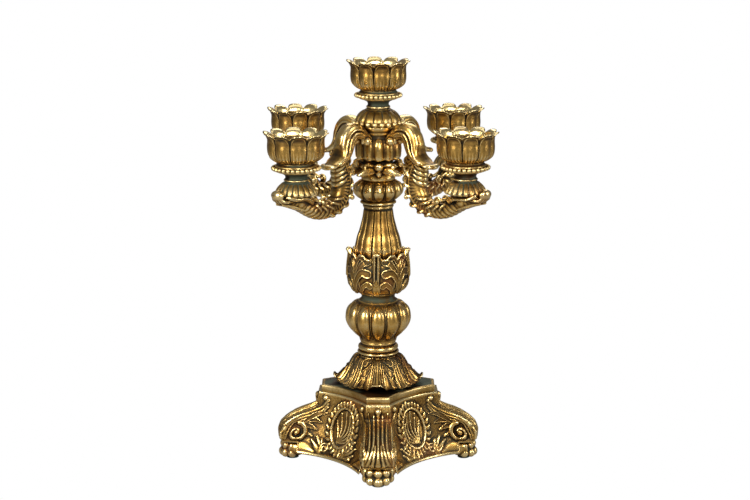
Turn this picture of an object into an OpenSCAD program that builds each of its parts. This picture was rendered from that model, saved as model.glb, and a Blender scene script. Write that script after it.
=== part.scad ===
// Five-light tabletop candelabra in antique-gold cast brass.
// Frame: +Z up, origin on the table under the stem's axis. The four feet point along -Y, +X,
// +Y and -X. The four branches point between them, and the branch unit turns on the stem.

/* [Base] */
// Distance from the axis to the outside of a paw
foot_reach = 99; // [96:0.5:102]
// Height of the top of a paw, where the leg rests on it
foot_h = 19.5; // [18:0.5:20.5]
// Thickness of a felt pad
felt_t = 1; // [0.6:0.2:1.6]
// Height of the base casting's lower edge above the table
skirt_gap = 9; // [7:0.5:10]
// Height of the top of the base casting
base_top = 71.5; // [70:0.5:72]
// Wall thickness of the base casting
base_wall = 4.5; // [3.5:0.5:6]
// Thickness of the slab on top of the base
plate_t = 7; // [6:0.5:8]

/* [Stem] */
// Height of the leafy skirt
skirt_h = 30.5; // [29:0.5:32]
// Height of the moulded ring over the skirt
ring_h = 13; // [12:0.5:14]
// Height of the gadrooned knop
knop_h = 41.5; // [40:0.5:43]
// Radius of the knop at its widest
knop_r = 32.1; // [30:0.1:34]
// Height of the collar over the knop
collar_h = 7.5; // [7:0.5:8]
// Height of the leaf calyx
calyx_h = 43.5; // [42:0.5:45]
// Height of the reeded column above the calyx's floor
column_h = 84; // [82:0.5:86]
// Number of reeds round the column
reeds = 14; // [12:1:16]

/* [Branches] */
// Distance from the stem's axis to the axis of an outer light
arm_reach = 111.4; // [108:0.2:114]
// Thickness of a branch from side to side
arm_t = 13; // [11:0.5:14]
// Turn of the branch unit on the stem, in degrees, counter-clockwise from above
branch_turn = 1.8; // [-4:0.2:4]
// Radial clearance of the branch unit's spigot in the stem
spigot_gap = 0.05; // [0.02:0.01:0.09]
// Gap between the branch unit and the stem where they meet
seat_gap = 0.3; // [0.2:0.05:0.5]

/* [Lights] */
// Height of an outer light's bead ring
outer_bead_z = 309.1; // [308:0.1:311]
// Height of the centre light's bead ring
centre_bead_z = 366.2; // [365:0.1:367]
// Inside diameter of a candle socket
socket_d = 23; // [21:0.5:24]
// Depth of a candle socket
socket_depth = 18; // [16:0.5:19]
// Radius of the flower cup at its belly
cup_r = 25.6; // [25:0.1:26.5]
// Number of petals round a cup's rim
petals = 10; // [8:1:12]
// Turn of the cups' petals, in degrees
petal_turn = 26; // [0:1:35]

/* [Fasteners] */
// Diameter of the tie rod and of the branch bolt
rod_d = 6; // [5:0.5:7]
// Diameter of the screws that hold the outer lights
light_screw_d = 5; // [4:0.5:5]
// Diameter of the screws in the paws and the branches
small_screw_d = 4; // [3:0.5:4]

/* [Hidden] */

gold = "#b08d4a";
dark_gold = "#8a6c36";
pale_gold = "#c9a860";
steel = "#9a9da0";
felt = "#2c4a38";
$fn = 96;

// Heights up the stem
plate_top = base_top + plate_t;
skirt_top = plate_top + skirt_h;
ring_top = skirt_top + ring_h;
knop_top = ring_top + knop_h;
collar_top = knop_top + collar_h;
calyx_top = collar_top + calyx_h;
column_foot = collar_top + 3;
column_top = column_foot + column_h;
cap_h = 5.3;
cap_top = column_top + cap_h;
bulb_z = cap_top + seat_gap;

// Rod clearance and the plug joint between stem and branch unit
rod_hole_r = rod_d / 2 + 0.2;
spigot_bore_r = 9;
spigot_r = spigot_bore_r - spigot_gap;
spigot_len = 23;
socket_floor = cap_top - 25;

// Heights up the branch unit
hub_z = bulb_z + 19.4;
tenon_z = hub_z + 41;
tenon_h = 11;
core_r = 9;
core_top = tenon_z + tenon_h + 3;
dome_top = centre_bead_z - 13.2;
arm_seat = outer_bead_z - 25.1;
pan_foot_r = 18.6;

// Where the bead ring's height is 0: the cup's floor, the socket and the rim
cup_floor = 5.4;
cup_floor_t = 2;
socket_foot = cup_floor + cup_floor_t;
socket_floor_t = 2.8;
socket_bottom = socket_foot + socket_floor_t;
socket_top = socket_bottom + socket_depth;
rim_z = 33.8;

// The base casting's outline at each height: corner radius, mid-face radius, half corner width
base_corner = [[9, 92], [20, 95.3], [24, 97], [30, 97.4], [33, 96.5], [36, 95], [39, 92], [42, 88],
    [45.5, 82.5], [48.7, 75.5], [52, 66.5], [55, 61], [58, 58.6], [62, 59.4], [66, 59.8], [71.5, 58.5]];
base_face = [[9, 60.5], [16, 55.5], [25, 50.5], [40, 46], [50, 44], [60, 43], [71.5, 43.5]];
base_half = [[9, 14.5], [30, 14], [45, 13], [55, 12], [71.5, 11.5]];
outer_heights = [skirt_gap, 14, 20, 24, 30, 33, 36, 39, 42, 45.5, 48.7, 52, 55, 58, 62, 66, base_top];
inner_heights = [base_top - base_wall, 62, 52, 42, 32, 22, 14, skirt_gap];
leg_solid_r = 64;
arc_steps = 13;
base_mouth_r = 20;

// A branch's middle line in its own upright plane: distance from the axis, height, half depth
arm_line = [[9.3, tenon_z + 5.5, 5.5], [21, tenon_z + 5.9, 5.9], [31, tenon_z + 9.5, 6.6],
    [40, tenon_z + 8.8, 7.4], [47, tenon_z + 1, 7.5], [51.5, tenon_z - 9, 8], [54.5, tenon_z - 18, 11],
    [53, tenon_z - 28, 13], [52, tenon_z - 38, 12.5], [54, tenon_z - 48, 12.3],
    [arm_reach - 50, arm_seat - 16.5, 9.5], [arm_reach - 41, arm_seat - 21, 8.2],
    [arm_reach - 31, arm_seat - 21.5, 8], [arm_reach - 19, arm_seat - 18, 8.4],
    [arm_reach - 8, arm_seat - 11.5, 8.4], [arm_reach + 3, arm_seat - 6.5, 7.6],
    [arm_reach + 14, arm_seat - 2.5, 5.5], [arm_reach + 25, arm_seat, 3.5]];

feet = [-90, 0, 90, 180];
arms = [-45, 45, 135, 225];

// One corner of the outline is three points across its flat; the arc to the next corner follows
function base_edge(z) = let (c = lookup(z, base_corner), f = lookup(z, base_half))
    [(c + f) * sqrt(0.5), (c - f) * sqrt(0.5)];
function base_arc_r(z) = let (e = base_edge(z), a = lookup(z, base_face))
    (pow(e[0] - a, 2) + pow(e[1], 2)) / (2 * (e[0] - a));
function face_r(z, phi) = let (m = lookup(z, base_face) + base_arc_r(z))
    m * cos(phi) - sqrt(pow(base_arc_r(z), 2) - pow(m * sin(phi), 2));
function corner_point(z, k) = let (c = lookup(z, base_corner), f = (k - 1) * lookup(z, base_half))
    [norm([c, f]), atan2(f, c)];
function arc_point(z, k) = let (e = base_edge(z), span = atan2(e[1], e[0]),
    phi = -span + 2 * span * k / arc_steps) [face_r(z, phi), 45 + phi];
function outline_point(z, k) = k < 3 ? corner_point(z, k) : arc_point(z, k - 2);
function to_ring(p, quarter, z) = [p[0] * cos(p[1] + 90 * quarter), p[0] * sin(p[1] + 90 * quarter), z];
function outer_ring(z) = [for (q = [0:3], k = [0:arc_steps + 1]) to_ring(outline_point(z, k), q, z)];
function inner_ring(z) = [for (p = outer_ring(z)) let (r = norm([p[0], p[1]]),
    s = min(r - base_wall, leg_solid_r) / r) [p[0] * s, p[1] * s, z]];
function round_ring(r, z) = [for (p = outer_ring(base_top)) let (s = r / norm([p[0], p[1]]))
    [p[0] * s, p[1] * s, z]];

// A closed band of rings: each ring joins the next, and the last joins the first
module ring_loft(rings) {
    n = len(rings[0]);
    m = len(rings);
    polyhedron(points = [for (r = rings) each r],
        faces = [for (i = [0:m - 1], k = [0:n - 1]) let (j = (i + 1) % m, l = (k + 1) % n)
            each [[i * n + k, j * n + k, j * n + l], [i * n + k, j * n + l, i * n + l]]],
        convexity = 8);
}

module turned(profile) {
    rotate_extrude() polygon(profile);
}

module round_the_axis(count, r, turn = 0) {
    for (k = [0:count - 1]) rotate(turn + 360 * k / count) translate([r, 0, 0]) children();
}

module on_arm(angle) {
    rotate(branch_turn + angle) translate([arm_reach, 0, outer_bead_z]) rotate(-branch_turn - angle)
        children();
}

// ---- Stand ----

module base_shell() {
    color(gold) difference() {
        ring_loft(concat([for (z = outer_heights) outer_ring(z)],
            [round_ring(base_mouth_r, base_top), round_ring(base_mouth_r, base_top - base_wall)],
            [for (z = inner_heights) inner_ring(z)]));
        for (a = feet) rotate(a) {
            translate([79, -15.7, 0]) cube([40, 31.4, foot_h]);
            translate([88, 0, foot_h - 1]) cylinder(h = 11, d = small_screw_d);
        }
    }
}

module paw(angle) {
    body_top = foot_h;
    color(gold) rotate(angle) difference() {
        union() {
            translate([0, 0, felt_t]) linear_extrude(body_top - felt_t) intersection() {
                translate([79, -14]) square([14, 28]);
                translate([79, 0]) circle(16);
            }
            translate([88, 0, 0]) for (k = [-2:2]) {
                rotate(k * 38) translate([6.4, 0, 6.2]) sphere(foot_reach - 94.4);
                rotate(k * 38) translate([6.8, 0, 14.4]) sphere(3.9);
            }
        }
        translate([60, -30, -10]) cube([60, 60, 10 + felt_t]);
        translate([88, 0, 0]) cylinder(h = body_top + 1, d = small_screw_d);
        translate([88, 0, 0]) cylinder(h = felt_t + 3, r = 4);
    }
}

module foot_screws() {
    color(steel) for (a = feet) rotate(a) translate([88, 0, felt_t + 0.6]) {
        cylinder(h = 2.4, r = 3.8);
        cylinder(h = foot_h + 7, d = small_screw_d);
    }
}

module felt_pads() {
    color(felt) for (a = feet) rotate(a) translate([86, 0, 0]) cylinder(h = felt_t, r = 6);
}

module base_plate() {
    side_r = 100;
    color(dark_gold) difference() {
        translate([0, 0, base_top]) linear_extrude(plate_t) difference() {
            intersection() {
                square(112, center = true);
                rotate(45) square(93.4, center = true);
            }
            round_the_axis(4, 42 + side_r, 45) circle(side_r);
        }
        cylinder(h = 200, r = rod_hole_r);
    }
}

module tie_rod() {
    color(steel) translate([0, 0, 52]) cylinder(h = socket_floor - 54, d = rod_d);
}

module rod_washer() {
    color(steel) translate([0, 0, base_top - base_wall - 2]) difference() {
        cylinder(h = 2, r = 27);
        translate([0, 0, -1]) cylinder(h = 4, r = rod_hole_r);
    }
    color(steel) translate([0, 0, base_top - base_wall]) difference() {
        cylinder(h = base_wall, r = base_mouth_r - 0.5);
        translate([0, 0, -1]) cylinder(h = base_wall + 2, r = rod_hole_r);
    }
}

module rod_nut() {
    color(steel) translate([0, 0, base_top - base_wall - 7]) difference() {
        cylinder(h = 5, r = 5.8, $fn = 6);
        translate([0, 0, -1]) cylinder(h = 7, d = rod_d);
    }
}

module leaf_skirt() {
    z0 = plate_top;
    color(gold) difference() {
        turned([[10, z0 + 27], [10, skirt_top], [22, skirt_top], [23.4, z0 + 29.5], [26.4, z0 + 26.4],
            [28.9, z0 + 23.3], [30.9, z0 + 20.2], [34.9, z0 + 17.1], [37.9, z0 + 14], [43.6, z0 + 10],
            [43.2, z0 + 7.6], [38, z0 + 8], [33, z0 + 3.5], [32, z0], [29, z0], [28, z0 + 14],
            [24, z0 + 22], [19, z0 + 27]]);
        round_the_axis(8, 45, 22.5) translate([0, 0, z0 - 1]) cylinder(h = 14, r = 6, $fn = 32);
    }
}

module moulded_ring() {
    z0 = skirt_top;
    color(gold) difference() {
        turned([[0, z0], [19, z0], [20.4, z0 + 0.6], [20.4, z0 + 2.4], [17.5, z0 + 3.6],
            [19.4, z0 + 5], [19.8, z0 + 6.5], [19.2, z0 + 8.4], [16.6, z0 + 9.8], [17.2, z0 + 11],
            [17.2, z0 + 12.4], [16, ring_top], [9.8, ring_top], [9.8, ring_top + 2], [0, ring_top + 2]]);
        cylinder(h = 300, r = rod_hole_r);
    }
}

module knop() {
    z0 = ring_top;
    color(gold) difference() {
        turned([[10, z0], [18, z0], [19.2, z0 + 3.6], [23.3, z0 + 7.7], [28.8, z0 + 13.8],
            [31.7, z0 + 20], [knop_r, z0 + 25], [31, z0 + 32.2], [26.2, z0 + 38.4], [20, z0 + 40.4],
            [20, knop_top], [10, knop_top], [10, z0 + 38], [22, z0 + 37], [27, z0 + 31],
            [28, z0 + 25], [26, z0 + 17], [17, z0 + 7], [10, z0 + 5]]);
        round_the_axis(12, knop_r + 0.6, 15) translate([0, 0, z0 + 4]) cylinder(h = 33, r = 2.2);
    }
}

module knop_collar() {
    z0 = knop_top;
    color(gold) difference() {
        turned([[0, z0 - 2], [9.8, z0 - 2], [9.8, z0], [18.6, z0], [17.4, z0 + 1.5], [18.1, z0 + 2.4],
            [18.1, z0 + 4], [16.6, z0 + 5.2], [17.6, collar_top], [0, collar_top]]);
        cylinder(h = 300, r = rod_hole_r);
    }
}

module leaf_calyx() {
    z0 = collar_top;
    color(gold) difference() {
        turned([[0, z0], [17, z0], [20.5, z0 + 0.6], [25.7, z0 + 4.6], [29, z0 + 10], [30.5, z0 + 21.9],
            [29.7, z0 + 32], [28.8, z0 + 38], [30, calyx_top - 1], [29, calyx_top], [26.5, z0 + 38],
            [27, z0 + 22], [25, z0 + 10], [19, z0 + 3], [0, z0 + 3]]);
        for (k = [0:7]) rotate(22.5 + 45 * k) translate([20, 0, calyx_top + 1]) rotate([0, 90, 0])
            cylinder(h = 20, r = 5, $fn = 32);
        cylinder(h = 300, r = rod_hole_r);
    }
}

module fluted_column() {
    z0 = column_foot;
    groove_tilt = atan((22.9 - 14.6) / 36);
    color(gold) difference() {
        turned([[0, z0], [18, z0], [19.5, z0 + 20], [22.4, z0 + 38], [22.7, z0 + 42], [21.7, z0 + 47],
            [20.4, z0 + 53], [18.4, z0 + 59], [16.7, z0 + 65.2], [15.3, z0 + 71.2], [14.3, z0 + 77],
            [14, column_top], [0, column_top]]);
        round_the_axis(reeds, 23.6) translate([0, 0, z0 + 44]) rotate([0, -groove_tilt, 0])
            cylinder(h = 38, r = 1.2, $fn = 24);
        translate([0, 0, z0 - 1]) cylinder(h = 44, r = 8);
        cylinder(h = socket_floor, d = rod_d);
        translate([0, 0, socket_floor]) cylinder(h = 60, r = spigot_bore_r);
    }
}

module column_cap() {
    z0 = column_top;
    color(gold) difference() {
        turned([[0, z0], [14.7, z0], [14.7, z0 + 1.4], [15.4, z0 + 2], [17.5, z0 + 2.8], [17.5, z0 + 4.2],
            [15.5, cap_top], [0, cap_top]]);
        translate([0, 0, z0 - 1]) cylinder(h = 10, r = spigot_bore_r);
    }
}

// ---- Branch unit ----

module hub_bulb() {
    z0 = bulb_z;
    color(gold) difference() {
        turned([[0, z0 - spigot_len], [spigot_r - 0.6, z0 - spigot_len],
            [spigot_r, z0 - spigot_len + 0.6], [spigot_r, z0], [16.4, z0], [18.3, z0 + 2],
            [23, z0 + 5.4], [25, z0 + 9.4], [24.4, z0 + 13], [21, z0 + 17], [16, hub_z], [0, hub_z]]);
        round_the_axis(12, 26, 15) translate([0, 0, z0 + 3]) cylinder(h = 14, r = 2);
        translate([0, 0, z0 - 40]) cylinder(h = 100, r = rod_hole_r);
        translate([0, 0, z0 - 40]) cylinder(h = 40 - spigot_len + 7, r = 6.4);
    }
}

module hub_body() {
    z0 = hub_z;
    bracket_tip = 38.5;
    color(gold) difference() {
        union() {
            turned([[0, z0], [15, z0], [17, z0 + 3], [15.4, z0 + 9], [15.4, z0 + 14.5], [20, z0 + 17],
                [21.6, z0 + 22], [21.8, z0 + 28], [20, z0 + 35], [17.4, z0 + 38], [18, z0 + 39],
                [18, tenon_z], [core_r, tenon_z], [core_r, core_top], [0, core_top]]);
            for (a = arms) rotate(branch_turn + a) translate([0, -5, z0 + 1])
                cube([bracket_tip, 10, 7]);
            round_the_axis(4, 16, branch_turn) translate([0, 0, z0 + 7]) sphere(4.5);
        }
        round_the_axis(12, 23.2, 15) translate([0, 0, z0 + 17.5]) cylinder(h = 20, r = 2);
        cylinder(h = 400, r = rod_hole_r);
        round_the_axis(4, 15, branch_turn + 45) translate([0, 0, tenon_z - 12])
            cylinder(h = 20, d = small_screw_d);
    }
}

// The branch's outline is its middle line moved out by the half depth on both sides
module arm_outline() {
    n = len(arm_line);
    dirs = [for (i = [0:n - 1]) let (a = arm_line[max(i - 1, 0)], b = arm_line[min(i + 1, n - 1)],
        d = [b[0] - a[0], b[1] - a[1]]) d / norm(d)];
    side = function (i, s) [arm_line[i][0] - s * dirs[i][1] * arm_line[i][2],
        arm_line[i][1] + s * dirs[i][0] * arm_line[i][2]];
    polygon(concat([for (i = [0:n - 1]) side(i, 1)], [for (i = [n - 1:-1:0]) side(i, -1)]));
}

module arm(angle) {
    color(gold) rotate(branch_turn + angle) difference() {
        union() {
            rotate([90, 0, 0]) translate([0, 0, -arm_t / 2]) linear_extrude(arm_t) arm_outline();
            translate([arm_reach, 0, arm_seat - 8]) cylinder(h = 8, r = 9.5);
        }
        translate([arm_reach, 0, arm_seat]) cylinder(h = 20, r = pan_foot_r + 0.6);
        translate([0, 0, tenon_z - 20]) cylinder(h = 60, r = core_r);
        translate([15, 0, tenon_z - 5]) cylinder(h = 30, d = small_screw_d);
        translate([15, 0, tenon_z + tenon_h]) cylinder(h = 20, r = 3.4);
        translate([arm_reach, 0, arm_seat - 13]) cylinder(h = 30, d = light_screw_d);
    }
}

module arm_screws() {
    color(steel) for (a = arms) rotate(branch_turn + a) translate([15, 0, tenon_z - 11]) {
        cylinder(h = 11 + tenon_h, d = small_screw_d);
        translate([0, 0, 11 + tenon_h]) cylinder(h = 2, r = 3);
    }
}

module beaded_dome() {
    z1 = dome_top;
    bead_z = z1 - 13;
    color(gold) difference() {
        turned([[0, core_top], [core_r, core_top], [core_r, z1 - 8], [13, z1 - 8], [18, z1 - 12],
            [20, bead_z - 2], [23.7, bead_z - 2.4], [25.4, bead_z - 1.8], [26.2, bead_z],
            [25.4, bead_z + 1.8], [23.4, bead_z + 2.4], [22.3, z1 - 9.8], [20.3, z1 - 7.2],
            [17.9, z1 - 4.2], [12.8, z1 - 0.8], [11.4, z1], [0, z1]]);
        cylinder(h = 400, r = rod_hole_r);
    }
}

module branch_bolt() {
    head_z = centre_bead_z + socket_bottom;
    foot_z = bulb_z - spigot_len + 0.5;
    color(steel) translate([0, 0, foot_z]) cylinder(h = head_z - foot_z, d = rod_d);
    color(steel) translate([0, 0, head_z - 2]) cylinder(h = 2, r1 = rod_d / 2, r2 = rod_d / 2 + 2);
}

module branch_nut() {
    color(steel) translate([0, 0, bulb_z - spigot_len + 2]) difference() {
        cylinder(h = 5, r = 5.8, $fn = 6);
        translate([0, 0, -1]) cylinder(h = 7, d = rod_d);
    }
}

// ---- One light, drawn with its bead ring at height 0 ----

module drip_pan(footed) {
    foot = footed ? [[0, -25.1], [15, -25.1], [17.4, -23], [pan_foot_r, -18.5], [17.6, -15.8], [11.6, -11.4]]
        : [[0, -13.2], [11.4, -13.2]];
    hole = footed ? light_screw_d / 2 + 0.2 : rod_hole_r;
    color(gold) difference() {
        turned(concat(foot, [[10.2, -8.8], [11.4, -6], [15.4, -4.3], [20.4, -2.4], [22.4, -1.9],
            [23.6, 0], [22.4, 1.9], [20.6, 2.2], [18.4, 3.4], [17, cup_floor], [0, cup_floor]]));
        translate([0, 0, -30]) cylinder(h = 60, r = hole);
    }
}

module flower_cup(screw_r) {
    wall = 1.8;
    color(pale_gold) rotate(petal_turn) difference() {
        turned([[0, cup_floor], [16.7, cup_floor], [20.9, 8.6], [24.1, 11.7], [cup_r, 20.4],
            [cup_r - 0.2, 27.4], [27.8, 31], [31.2, rim_z], [29.4, rim_z], [26, 31.6],
            [cup_r - wall - 0.2, 27.6], [cup_r - wall, 20.4], [22.4, 12.4], [19.8, 9.8],
            [17, socket_foot], [0, socket_foot]]);
        for (k = [0:petals - 1]) rotate((k + 0.5) * 360 / petals) translate([15, 0, rim_z + 1])
            rotate([0, 90, 0]) cylinder(h = 20, r = 4.6, $fn = 32);
        cylinder(h = 60, r = screw_r + 0.2);
    }
}

module candle_socket(screw_r) {
    bore_r = socket_d / 2;
    color(pale_gold) difference() {
        turned([[0, socket_foot], [bore_r + 1.8, socket_foot], [bore_r + 1.8, socket_foot + 1.6],
            [bore_r + 1.2, socket_foot + 2.2], [bore_r + 1.2, socket_top - 1.4],
            [bore_r + 2.2, socket_top - 0.8], [bore_r + 2.2, socket_top], [0, socket_top]]);
        translate([0, 0, socket_bottom]) cylinder(h = 40, r = bore_r);
        cylinder(h = 40, r = screw_r);
        translate([0, 0, socket_bottom - 2]) cylinder(h = 2, r1 = screw_r, r2 = screw_r + 2);
    }
}

module pan_at(angle) on_arm(angle) drip_pan(true);
module cup_at(angle) on_arm(angle) flower_cup(light_screw_d / 2);
module socket_at(angle) on_arm(angle) candle_socket(light_screw_d / 2);

module socket_screws() {
    reach = socket_bottom + 25.1 + 12;
    r = light_screw_d / 2;
    color(steel) for (a = arms) on_arm(a) translate([0, 0, socket_bottom]) {
        translate([0, 0, -reach]) cylinder(h = reach, r = r);
        translate([0, 0, -2]) cylinder(h = 2, r1 = r, r2 = r + 2);
    }
}

base_shell();
paw(-90);  // foot_front
paw(0);  // foot_right
paw(90);  // foot_back
paw(180);  // foot_left
foot_screws();
felt_pads();
base_plate();
tie_rod();
rod_washer();
rod_nut();
leaf_skirt();
moulded_ring();
knop();
knop_collar();
leaf_calyx();
fluted_column();
column_cap();
hub_bulb();
hub_body();
arm(-45);  // arm_front_right
arm(45);  // arm_back_right
arm(135);  // arm_back_left
arm(225);  // arm_front_left
arm_screws();
beaded_dome();
branch_bolt();
branch_nut();
translate([0, 0, centre_bead_z]) drip_pan(false);  // pan_centre
pan_at(-45);  // pan_front_right
pan_at(45);  // pan_back_right
pan_at(135);  // pan_back_left
pan_at(225);  // pan_front_left
translate([0, 0, centre_bead_z]) flower_cup(rod_d / 2);  // cup_centre
cup_at(-45);  // cup_front_right
cup_at(45);  // cup_back_right
cup_at(135);  // cup_back_left
cup_at(225);  // cup_front_left
translate([0, 0, centre_bead_z]) candle_socket(rod_d / 2);  // socket_centre
socket_at(-45);  // socket_front_right
socket_at(45);  // socket_back_right
socket_at(135);  // socket_back_left
socket_at(225);  // socket_front_left
socket_screws();
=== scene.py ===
"""Looks for the five-light candelabra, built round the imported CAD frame.

Every cast piece is worked out in millimetres in the part's own frame: turned forms with a relief drawn on
them by formula, and heaps of tubes, blades and balls that a voxel remesh fuses into one casting.
"""
import math

import bpy
import numpy as np
from mathutils import Matrix, Vector


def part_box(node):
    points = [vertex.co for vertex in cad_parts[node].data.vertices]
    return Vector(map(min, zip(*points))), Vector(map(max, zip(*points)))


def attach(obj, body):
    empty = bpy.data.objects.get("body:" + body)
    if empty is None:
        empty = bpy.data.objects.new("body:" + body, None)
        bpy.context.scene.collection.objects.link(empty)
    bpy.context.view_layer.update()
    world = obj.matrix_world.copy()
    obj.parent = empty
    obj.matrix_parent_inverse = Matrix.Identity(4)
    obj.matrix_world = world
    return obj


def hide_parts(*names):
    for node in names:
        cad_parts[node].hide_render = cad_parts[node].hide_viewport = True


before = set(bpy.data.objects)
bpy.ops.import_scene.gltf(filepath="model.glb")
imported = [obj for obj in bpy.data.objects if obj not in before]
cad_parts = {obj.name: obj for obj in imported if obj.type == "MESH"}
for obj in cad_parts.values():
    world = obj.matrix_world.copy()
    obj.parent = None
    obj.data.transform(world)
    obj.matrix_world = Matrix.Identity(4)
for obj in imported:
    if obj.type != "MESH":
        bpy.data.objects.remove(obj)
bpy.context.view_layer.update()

MM = 0.001
TAU = math.tau

# ---- Driving sizes, in millimetres, and places read off the frame ----

def top_of(node):
    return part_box(node)[1].z / MM


def foot_of(node):
    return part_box(node)[0].z / MM


def middle(node):
    low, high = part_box(node)
    return (low + high) / 2 / MM


FOOT_TOP = top_of("foot_front")
BASE_FOOT = foot_of("base_shell")
BASE_TOP = top_of("base_shell")
PLATE_TOP = top_of("base_plate")
SKIRT_TOP = top_of("leaf_skirt")
KNOP_FOOT = foot_of("knop")
KNOP_TOP = top_of("knop")
CALYX_FOOT = foot_of("leaf_calyx")
COLUMN_TOP = top_of("fluted_column")
CAP_TOP = top_of("column_cap")
BULB_FOOT = CAP_TOP + 0.3
HUB_FOOT = foot_of("hub_body")
DOME_TOP = top_of("beaded_dome")
CUP_FLOOR = 5.4                     # a cup's foot above its bead ring
PAN_FOOT = 25.1                     # an outer pan's foot below its bead ring
CENTRE_BEAD = foot_of("cup_centre") - CUP_FLOOR
OUTER_BEAD = foot_of("cup_front_right") - CUP_FLOOR

# Directions from the axis, in degrees
FEET = {"front": -90.0, "right": 0.0, "back": 90.0, "left": 180.0}
ARMS = {"front_right": -45.0, "back_right": 45.0, "back_left": 135.0, "front_left": 225.0}
LIGHT_PLACE = {name: middle("socket_" + name) for name in ["centre", *ARMS]}
ONE_LIGHT = LIGHT_PLACE["front_right"]
REACH = math.hypot(ONE_LIGHT.x, ONE_LIGHT.y)
BRANCH_TURN = math.degrees(math.atan2(ONE_LIGHT.y, ONE_LIGHT.x)) - ARMS["front_right"]
ARM_SEAT = OUTER_BEAD - PAN_FOOT

# Counts round the axis
PETALS = 10
LOBES = 12
REEDS = 14
DOME_RIBS = 14
DOME_BEADS = 22
PAN_RIBS = 20
PAN_BEADS = 30
LEAVES = 4

# Directions of the lobe, reed, leaf or petal that each of them starts from, in radians
FRONT = -math.pi / 2
HUB_FRONT = FRONT + math.radians(BRANCH_TURN)
STEM_FRONT = FRONT + math.radians(-3.6)
SKIRT_FRONT = FRONT + math.radians(-1.7)
PETAL_TURN = math.radians(-82)

POLISH_ROUNDS = 2                   # how often a fused casting is rubbed down


# ---- Lines, grids and solids ----

def even(line, count):
    """The same line with evenly spaced points."""
    along = np.concatenate([[0], np.cumsum(np.linalg.norm(np.diff(line, axis=0), axis=1))])
    steps = np.linspace(0, along[-1], count)
    return np.stack([np.interp(steps, along, axis) for axis in line.T], axis=1)


def flow(points, count):
    """A smooth line through the points; a point given twice makes a corner."""
    p = np.asarray(points, float)
    p = np.vstack([2 * p[0] - p[1], p, 2 * p[-1] - p[-2]])
    t = np.linspace(0, 1, 20, endpoint=False)[:, None]
    parts = [0.5 * (2 * b + (c - a) * t + (2 * a - 5 * b + 4 * c - d) * t ** 2
                    + (3 * b - a - 3 * c + d) * t ** 3) for a, b, c, d in zip(p, p[1:], p[2:], p[3:])]
    return even(np.vstack(parts + [p[-2:-1]]), count)


def unit(v):
    return v / np.maximum(np.linalg.norm(v, axis=-1, keepdims=True), 1e-9)


def step(x, low, high):
    t = np.clip((x - low) / (high - low), 0, 1)
    return t * t * (3 - 2 * t)


def bump(x, width):
    return np.exp(-(x / width) ** 2)


def wrap(angle, count, phase=0.0):
    """Place within one of count equal sectors: 0 at its middle, -1 and 1 at its edges."""
    sector = TAU / count
    return ((angle - phase + sector / 2) % sector - sector / 2) / (sector / 2)


def skin(grid):
    """A closed solid from rows of points that run round it; the end rows are closed by fans."""
    rows, cols, _ = grid.shape
    i, j = np.meshgrid(np.arange(rows - 1), np.arange(cols), indexing="ij")
    k = (j + 1) % cols
    quads = np.stack([i * cols + j, i * cols + k, (i + 1) * cols + k, (i + 1) * cols + j], -1)
    ring = np.arange(cols)
    after = (ring + 1) % cols
    low, high = rows * cols, rows * cols + 1
    last = (rows - 1) * cols
    fans = np.vstack([np.stack([after, ring, np.full(cols, low)], -1),
                      np.stack([last + ring, last + after, np.full(cols, high)], -1)])
    verts = np.vstack([grid.reshape(-1, 3), grid[0].mean(0), grid[-1].mean(0)])
    return verts, quads.reshape(-1, 4), fans


def turned(line, cols, relief=None):
    """Turns a line of (radius, height) round the axis and raises relief(theta, z) along its normals."""
    return lofted(lambda theta: np.repeat(line[:, None], len(theta), 1), cols, relief)


def lofted(section, cols, relief=None):
    """As turned, for a line that changes round the axis: section(theta) gives rows x cols x 2."""
    theta = np.arange(cols) * TAU / cols
    rz = section(theta)
    if relief is not None:
        d = np.gradient(rz, axis=0)
        normal = unit(np.stack([d[..., 1], -d[..., 0]], -1))
        rz = rz + relief(theta[None], rz[..., 1])[..., None] * normal
    x = rz[..., 0] * np.cos(theta)
    y = rz[..., 0] * np.sin(theta)
    return skin(np.stack([x, y, rz[..., 1]], -1))


def mixed(line_a, line_b, weight):
    """A section that goes from line_b to line_a as weight(theta) goes from 0 to 1."""
    return lambda theta: line_b[:, None] + (line_a - line_b)[:, None] * weight(theta)[None, :, None]


def ball(centre, radius, squash=(1, 1, 1), cols=16):
    lat = np.linspace(-math.pi / 2, math.pi / 2, cols // 2 + 3)[1:-1]
    lon = np.arange(cols) * TAU / cols
    grid = np.stack([np.cos(lat)[:, None] * np.cos(lon), np.cos(lat)[:, None] * np.sin(lon),
                     np.repeat(np.sin(lat)[:, None], cols, 1)], -1)
    return skin(np.asarray(centre) + grid * radius * np.asarray(squash))


def egg(centre, half_sizes, cols=28):
    return ball(centre, 1, half_sizes, cols)


def swept(spine, side, half_width, half_depth, cols=20, relief=None, power=2.0):
    """A solid along a spine. side is the direction of its width; relief(angle, along) raises it."""
    spine = np.asarray(spine, float)
    along = unit(np.gradient(spine, axis=0))
    side = np.broadcast_to(np.asarray(side, float), spine.shape)
    side = unit(side - (side * along).sum(-1, keepdims=True) * along)
    up = np.cross(side, along)
    angle = np.arange(cols) * TAU / cols
    c, s = np.cos(angle), np.sin(angle)
    u = np.sign(c) * np.abs(c) ** (2 / power)
    v = np.sign(s) * np.abs(s) ** (2 / power)
    wide = np.broadcast_to(np.asarray(half_width, float), len(spine))[:, None]
    deep = np.broadcast_to(np.asarray(half_depth, float), len(spine))[:, None]
    length = np.concatenate([[0], np.cumsum(np.linalg.norm(np.diff(spine, axis=0), axis=1))])
    rise = relief(angle[None], length[:, None]) if relief is not None else 0.0
    grid = (spine[:, None] + side[:, None] * (u * (wide + rise))[..., None]
            + up[:, None] * (v * (deep + rise))[..., None])
    return skin(grid)


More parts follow.
